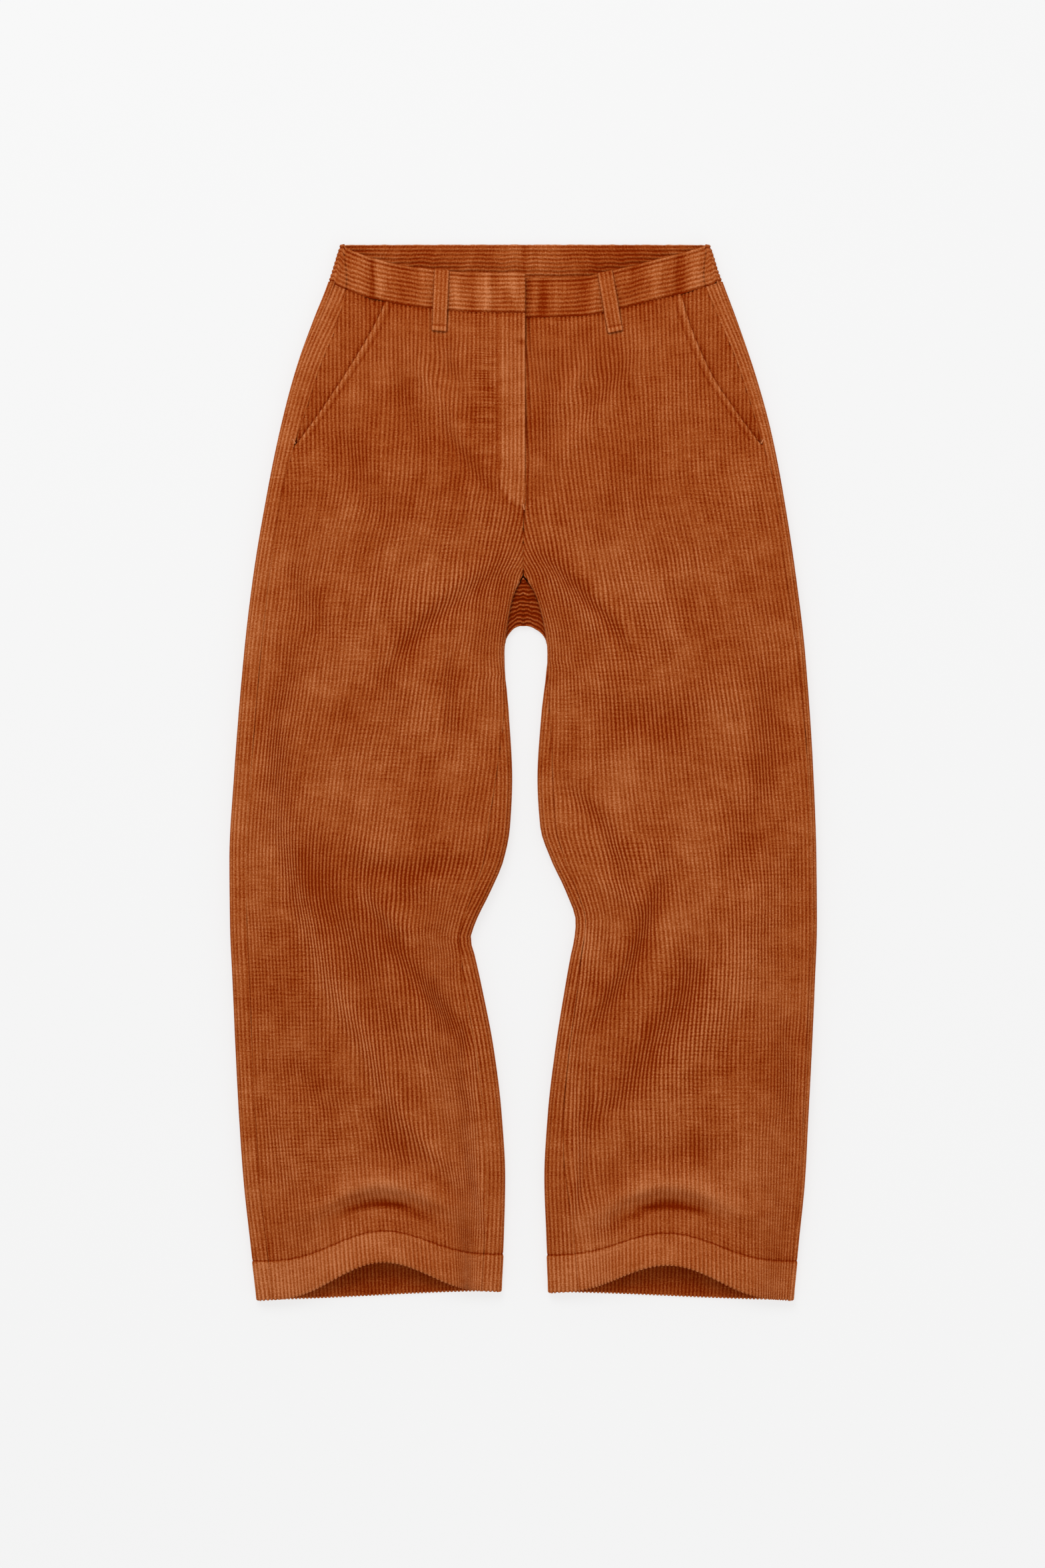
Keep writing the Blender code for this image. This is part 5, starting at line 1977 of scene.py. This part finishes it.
def pile_pattern() -> bpy.types.ShaderNodeTree:
    """The corduroy's pattern as a node group.

    Returns:
        A group from the wales' map, the place and the marks to a colour and a height.
    """
    tree = bpy.data.node_groups.new("pile_pattern", "ShaderNodeTree")
    inputs = {"Wales": "Vector", "Place": "Vector", "Shade": "Float", "Crossed": "Float", "Crisp": "Float"}
    inputs |= {"Groove": "Color", "Deep": "Color", "Main": "Color", "Bright": "Color"}
    for name, kind in inputs.items():
        tree.interface.new_socket(name, in_out="INPUT", socket_type="NodeSocket" + kind)
    for name, kind in (("Color", "NodeSocketColor"), ("Height", "NodeSocketFloat")):
        tree.interface.new_socket(name, in_out="OUTPUT", socket_type=kind)
    n = Nodes(tree)
    given = n.add("NodeGroupInput").outputs
    wales, place = given["Wales"], given["Place"]
    axes = n.add("ShaderNodeSeparateXYZ", {0: wales})
    stray = n.noise(n.stretched(wales, (150, 420, 1)), 1.0, 2.0)
    stray = n.math("MULTIPLY_ADD", stray, 0.3, -0.15)
    phase = n.math("MULTIPLY_ADD", axes.outputs[0], 1 / (PITCH * MM), stray)
    off = n.math("ABSOLUTE", n.math("SUBTRACT", n.math("FRACT", phase), 0.5))
    # The grooves between the wales are painted darker: painted shade, over the pile's own darker tone
    # there.
    groove = n.ramp(off, 0.07, 0.48)
    brushed = n.ramp(n.noise(n.stretched(place, (36, 62, 20)), 1.0, 2.0, 0.6), 0.42, 0.66, -0.38)
    keep = n.math("MAXIMUM", n.math("ADD", brushed, 1.0), given["Crisp"])
    keep = n.math("MULTIPLY_ADD", given["Crisp"], 0.7, keep)
    tuft = n.noise(n.stretched(wales, (680, 860, 1)), 1.0, 2.0, 0.75)
    streak = n.noise(n.stretched(wales, (269, 26, 1)), 1.0, 2.0)
    wander = n.noise(n.stretched(wales, (30, 24, 1)), 1.0, 1.0)
    lines = n.math("FRACT", n.math("MULTIPLY_ADD", axes.outputs[1], 290.0, n.math("MULTIPLY", wander, 1.6)))
    lines = n.ramp(n.math("ABSOLUTE", n.math("SUBTRACT", lines, 0.5)), 0.15, 0.48)
    uneven = n.noise(n.stretched(wales, (60, 90, 1)), 1.0, 2.0)
    lined = n.math("MULTIPLY", lines, n.math("MULTIPLY", n.ramp(uneven, 0.3, 0.62), given["Crossed"]))
    faint = n.noise(n.stretched(wales, (40, 420, 1)), 1.0, 2.0)
    tone = n.math("MULTIPLY_ADD", n.math("MULTIPLY", groove, keep), -0.43, 0.66)
    for noise, much in (
        (n.noise(place, 17.0, 3.0, 0.6), 0.5), (n.noise(place, 60.0, 2.0, 0.6), 0.22),
        (streak, 0.36), (tuft, 1.6), (faint, 0.32),
    ):
        tone = n.math("MULTIPLY_ADD", n.math("SUBTRACT", noise, 0.5), much, tone)
    tone = n.math("MULTIPLY_ADD", lined, -0.3, tone)
    tone = n.math("MULTIPLY_ADD", given["Crisp"], 0.09, tone)
    # The Shade mark brings the painted light and shade of the folds, seams and edges.
    tone = n.math("MULTIPLY_ADD", given["Shade"], 0.42, tone)
    colour = n.blend(n.ramp(tone, 0.0, 0.35, even=True), given["Groove"], given["Deep"])
    colour = n.blend(n.ramp(tone, 0.35, 0.62, even=True), colour, given["Main"])
    colour = n.blend(n.ramp(tone, 0.62, 1.0, even=True), colour, given["Bright"])
    height = n.math("MULTIPLY_ADD", tuft, 0.6, n.math("MULTIPLY", groove, -0.4))
    height = n.math("MULTIPLY_ADD", lined, -0.25, height)
    out = n.add("NodeGroupOutput")
    tree.links.new(colour, out.inputs["Color"])
    tree.links.new(height, out.inputs["Height"])
    return tree


@dataclass(frozen=True)
class ThreadFinish:
    """Sewing thread of the tacks, in linear light."""

    colour: tuple[float, float, float, float] = (0.56, 0.19, 0.07, 1.0)
    roughness: float = 0.75


class Finishes:
    """The materials, made once."""

    def __init__(self, pile: PileFinish, thread: ThreadFinish) -> None:
        """Makes both materials.

        Args:
            pile: the corduroy's finish.
            thread: the tacks' finish.
        """
        self.pattern = pile_pattern()
        self.pile = self.corduroy("russet_corduroy", pile)
        self.thread = bpy.data.materials.new("tan_thread")
        self.thread.use_nodes = True
        shader = self.thread.node_tree.nodes["Principled BSDF"]
        shader.inputs["Base Color"].default_value = thread.colour
        shader.inputs["Roughness"].default_value = thread.roughness
        shader.inputs["Specular IOR Level"].default_value = 0.1

    def corduroy(self, name: str, look: PileFinish) -> bpy.types.Material:
        """A corduroy material.

        Args:
            name: its name.
            look: its colours and nap.

        Returns:
            The material.
        """
        material = bpy.data.materials.new(name)
        material.use_nodes = True
        n = Nodes(material.node_tree)
        shader = material.node_tree.nodes["Principled BSDF"]
        shader.inputs["Roughness"].default_value = look.roughness
        shader.inputs["Sheen Weight"].default_value = look.sheen
        shader.inputs["Sheen Roughness"].default_value = 0.5
        shader.inputs["Sheen Tint"].default_value = (*look.sheen_tint, 1)
        shader.inputs["Specular IOR Level"].default_value = 0.0
        wales = n.add("ShaderNodeUVMap", uv_map="wales")
        place = n.add("ShaderNodeTexCoord")
        group = n.add("ShaderNodeGroup", node_tree=self.pattern)
        material.node_tree.links.new(wales.outputs[0], group.inputs["Wales"])
        material.node_tree.links.new(place.outputs["Object"], group.inputs["Place"])
        for key in ("shade", "crossed", "crisp"):
            mark = n.add("ShaderNodeAttribute", attribute_name=key, attribute_type="GEOMETRY")
            material.node_tree.links.new(mark.outputs["Fac"], group.inputs[key.capitalize()])
        for key in ("groove", "deep", "main", "bright"):
            group.inputs[key.capitalize()].default_value = (*getattr(look, key), 1)
        relief = {"Height": group.outputs["Height"], "Distance": 0.0006, "Strength": 0.8}
        bump = n.add("ShaderNodeBump", relief)
        material.node_tree.links.new(group.outputs["Color"], shader.inputs["Base Color"])
        material.node_tree.links.new(bump.outputs[0], shader.inputs["Normal"])
        return material


@dataclass
class Studio:
    """Floor, lights and camera.

    Attributes:
        floor_colour: of the pale floor.
        glow: light of the floor's own, as of a light table.
        ambient: strength of the even light.
        key: power of the large light above the waist.
        fill: power of the light opposite.
        lens: of the camera.
        height: of the camera over the floor.
    """

    floor_colour: float = 0.18
    glow: float = 0.735
    ambient: float = 0.6
    key: float = 44.5
    fill: float = 10.0
    lens: float = 85.0
    height: float = 3.344

    def lamp(self, name: str, place: Sequence[float], power: float, size: float) -> None:
        """Adds a square light that faces the trousers.

        Args:
            name: its name.
            place: where it hangs, in metres.
            power: in watts.
            size: of its side, in metres.
        """
        deselect()
        bpy.ops.object.light_add(type="AREA", location=tuple(place))
        lamp = bpy.context.object
        lamp.name = name
        lamp.data.energy = power
        lamp.data.size = size
        x, y, z = place
        lamp.rotation_euler = (math.atan2(math.hypot(x, y), z), 0, math.atan2(y, x) + math.pi / 2)

    def build(self) -> None:
        """Builds the stage and sets the scene's camera and light."""
        deselect()
        bpy.ops.mesh.primitive_plane_add(size=14, location=(0, 0, -0.0004))
        floor = bpy.context.object
        floor.name = "floor"
        material = bpy.data.materials.new("pale_floor")
        material.use_nodes = True
        shader = material.node_tree.nodes["Principled BSDF"]
        shader.inputs["Base Color"].default_value = (self.floor_colour,) * 3 + (1,)
        shader.inputs["Roughness"].default_value = 0.9
        shader.inputs["Specular IOR Level"].default_value = 0.1
        shader.inputs["Emission Color"].default_value = (1.0, 1.0, 1.0, 1)
        shader.inputs["Emission Strength"].default_value = self.glow
        floor.data.materials.append(material)
        scene = bpy.context.scene
        world = bpy.data.worlds.new("even_light")
        world.use_nodes = True
        sky = world.node_tree.nodes["Background"]
        sky.inputs["Color"].default_value = (1.0, 1.0, 1.0, 1)
        sky.inputs["Strength"].default_value = self.ambient
        scene.world = world
        scene.view_settings.view_transform = "Standard"
        self.lamp("key_light", (-0.6, 1.9, 2.5), self.key, 1.6)
        self.lamp("fill_light", (0.9, -1.4, 2.4), self.fill, 2.0)
        bpy.ops.object.camera_add(location=(-0.0006, -0.0105, self.height), rotation=(0, 0, 0))
        camera = bpy.context.object
        camera.name = "overhead_camera"
        camera.data.lens = self.lens
        camera.data.sensor_width = 36
        scene.camera = camera


BELT_LOOPS = (
    BeltLoop("belt_loop_front_right", -73.0, -75.5), BeltLoop("belt_loop_front_left", 73.5, 83.0),
    BeltLoop("belt_loop_back_right", -105.0, -105.0), BeltLoop("belt_loop_back_centre", 0.0, 0.0),
    BeltLoop("belt_loop_back_left", 105.0, 105.0),
)


def main() -> None:
    """Builds the trousers on the CAD frame and sets the scene."""
    logging.basicConfig(level=logging.INFO, format="%(name)s %(message)s")
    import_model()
    finish = Finishes(PileFinish(), ThreadFinish())
    forms = {side: Form(side) for side in Side}
    Studio().build()
    for form in forms.values():
        BackPanel(form).build(finish)
        PocketFacing(form).build(finish)
        FrontPanel(form).build(finish)
        FrontBand(side=form.side).build(form, finish)
    BackBand().build(forms[Side.RIGHT], forms[Side.LEFT], finish)
    for loop in BELT_LOOPS:
        if "front" in loop.name:
            loop.build_front(forms[Side.RIGHT if loop.top < 0 else Side.LEFT], finish)
        else:
            loop.build_back(finish)
    right, left = forms[Side.RIGHT], forms[Side.LEFT]
    BarTack("fly_tack", -0.5, FLY_LEVEL - 0.5, 80.0, length=5.5, width=1.4, lift=0.9).build(right, finish)
    corner = POCKET_FOOT + 1.5
    tack = BarTack("pocket_tack_right", 206.0, corner, 60.0, length=5.0, width=1.3, lift=0.0)
    tack.build(right, finish)
    tack = BarTack("pocket_tack_left", 215.0, corner, 60.0, length=5.0, width=1.3, lift=0.0)
    tack.build(left, finish)
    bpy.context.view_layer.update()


if __name__ == "__main__":
    main()
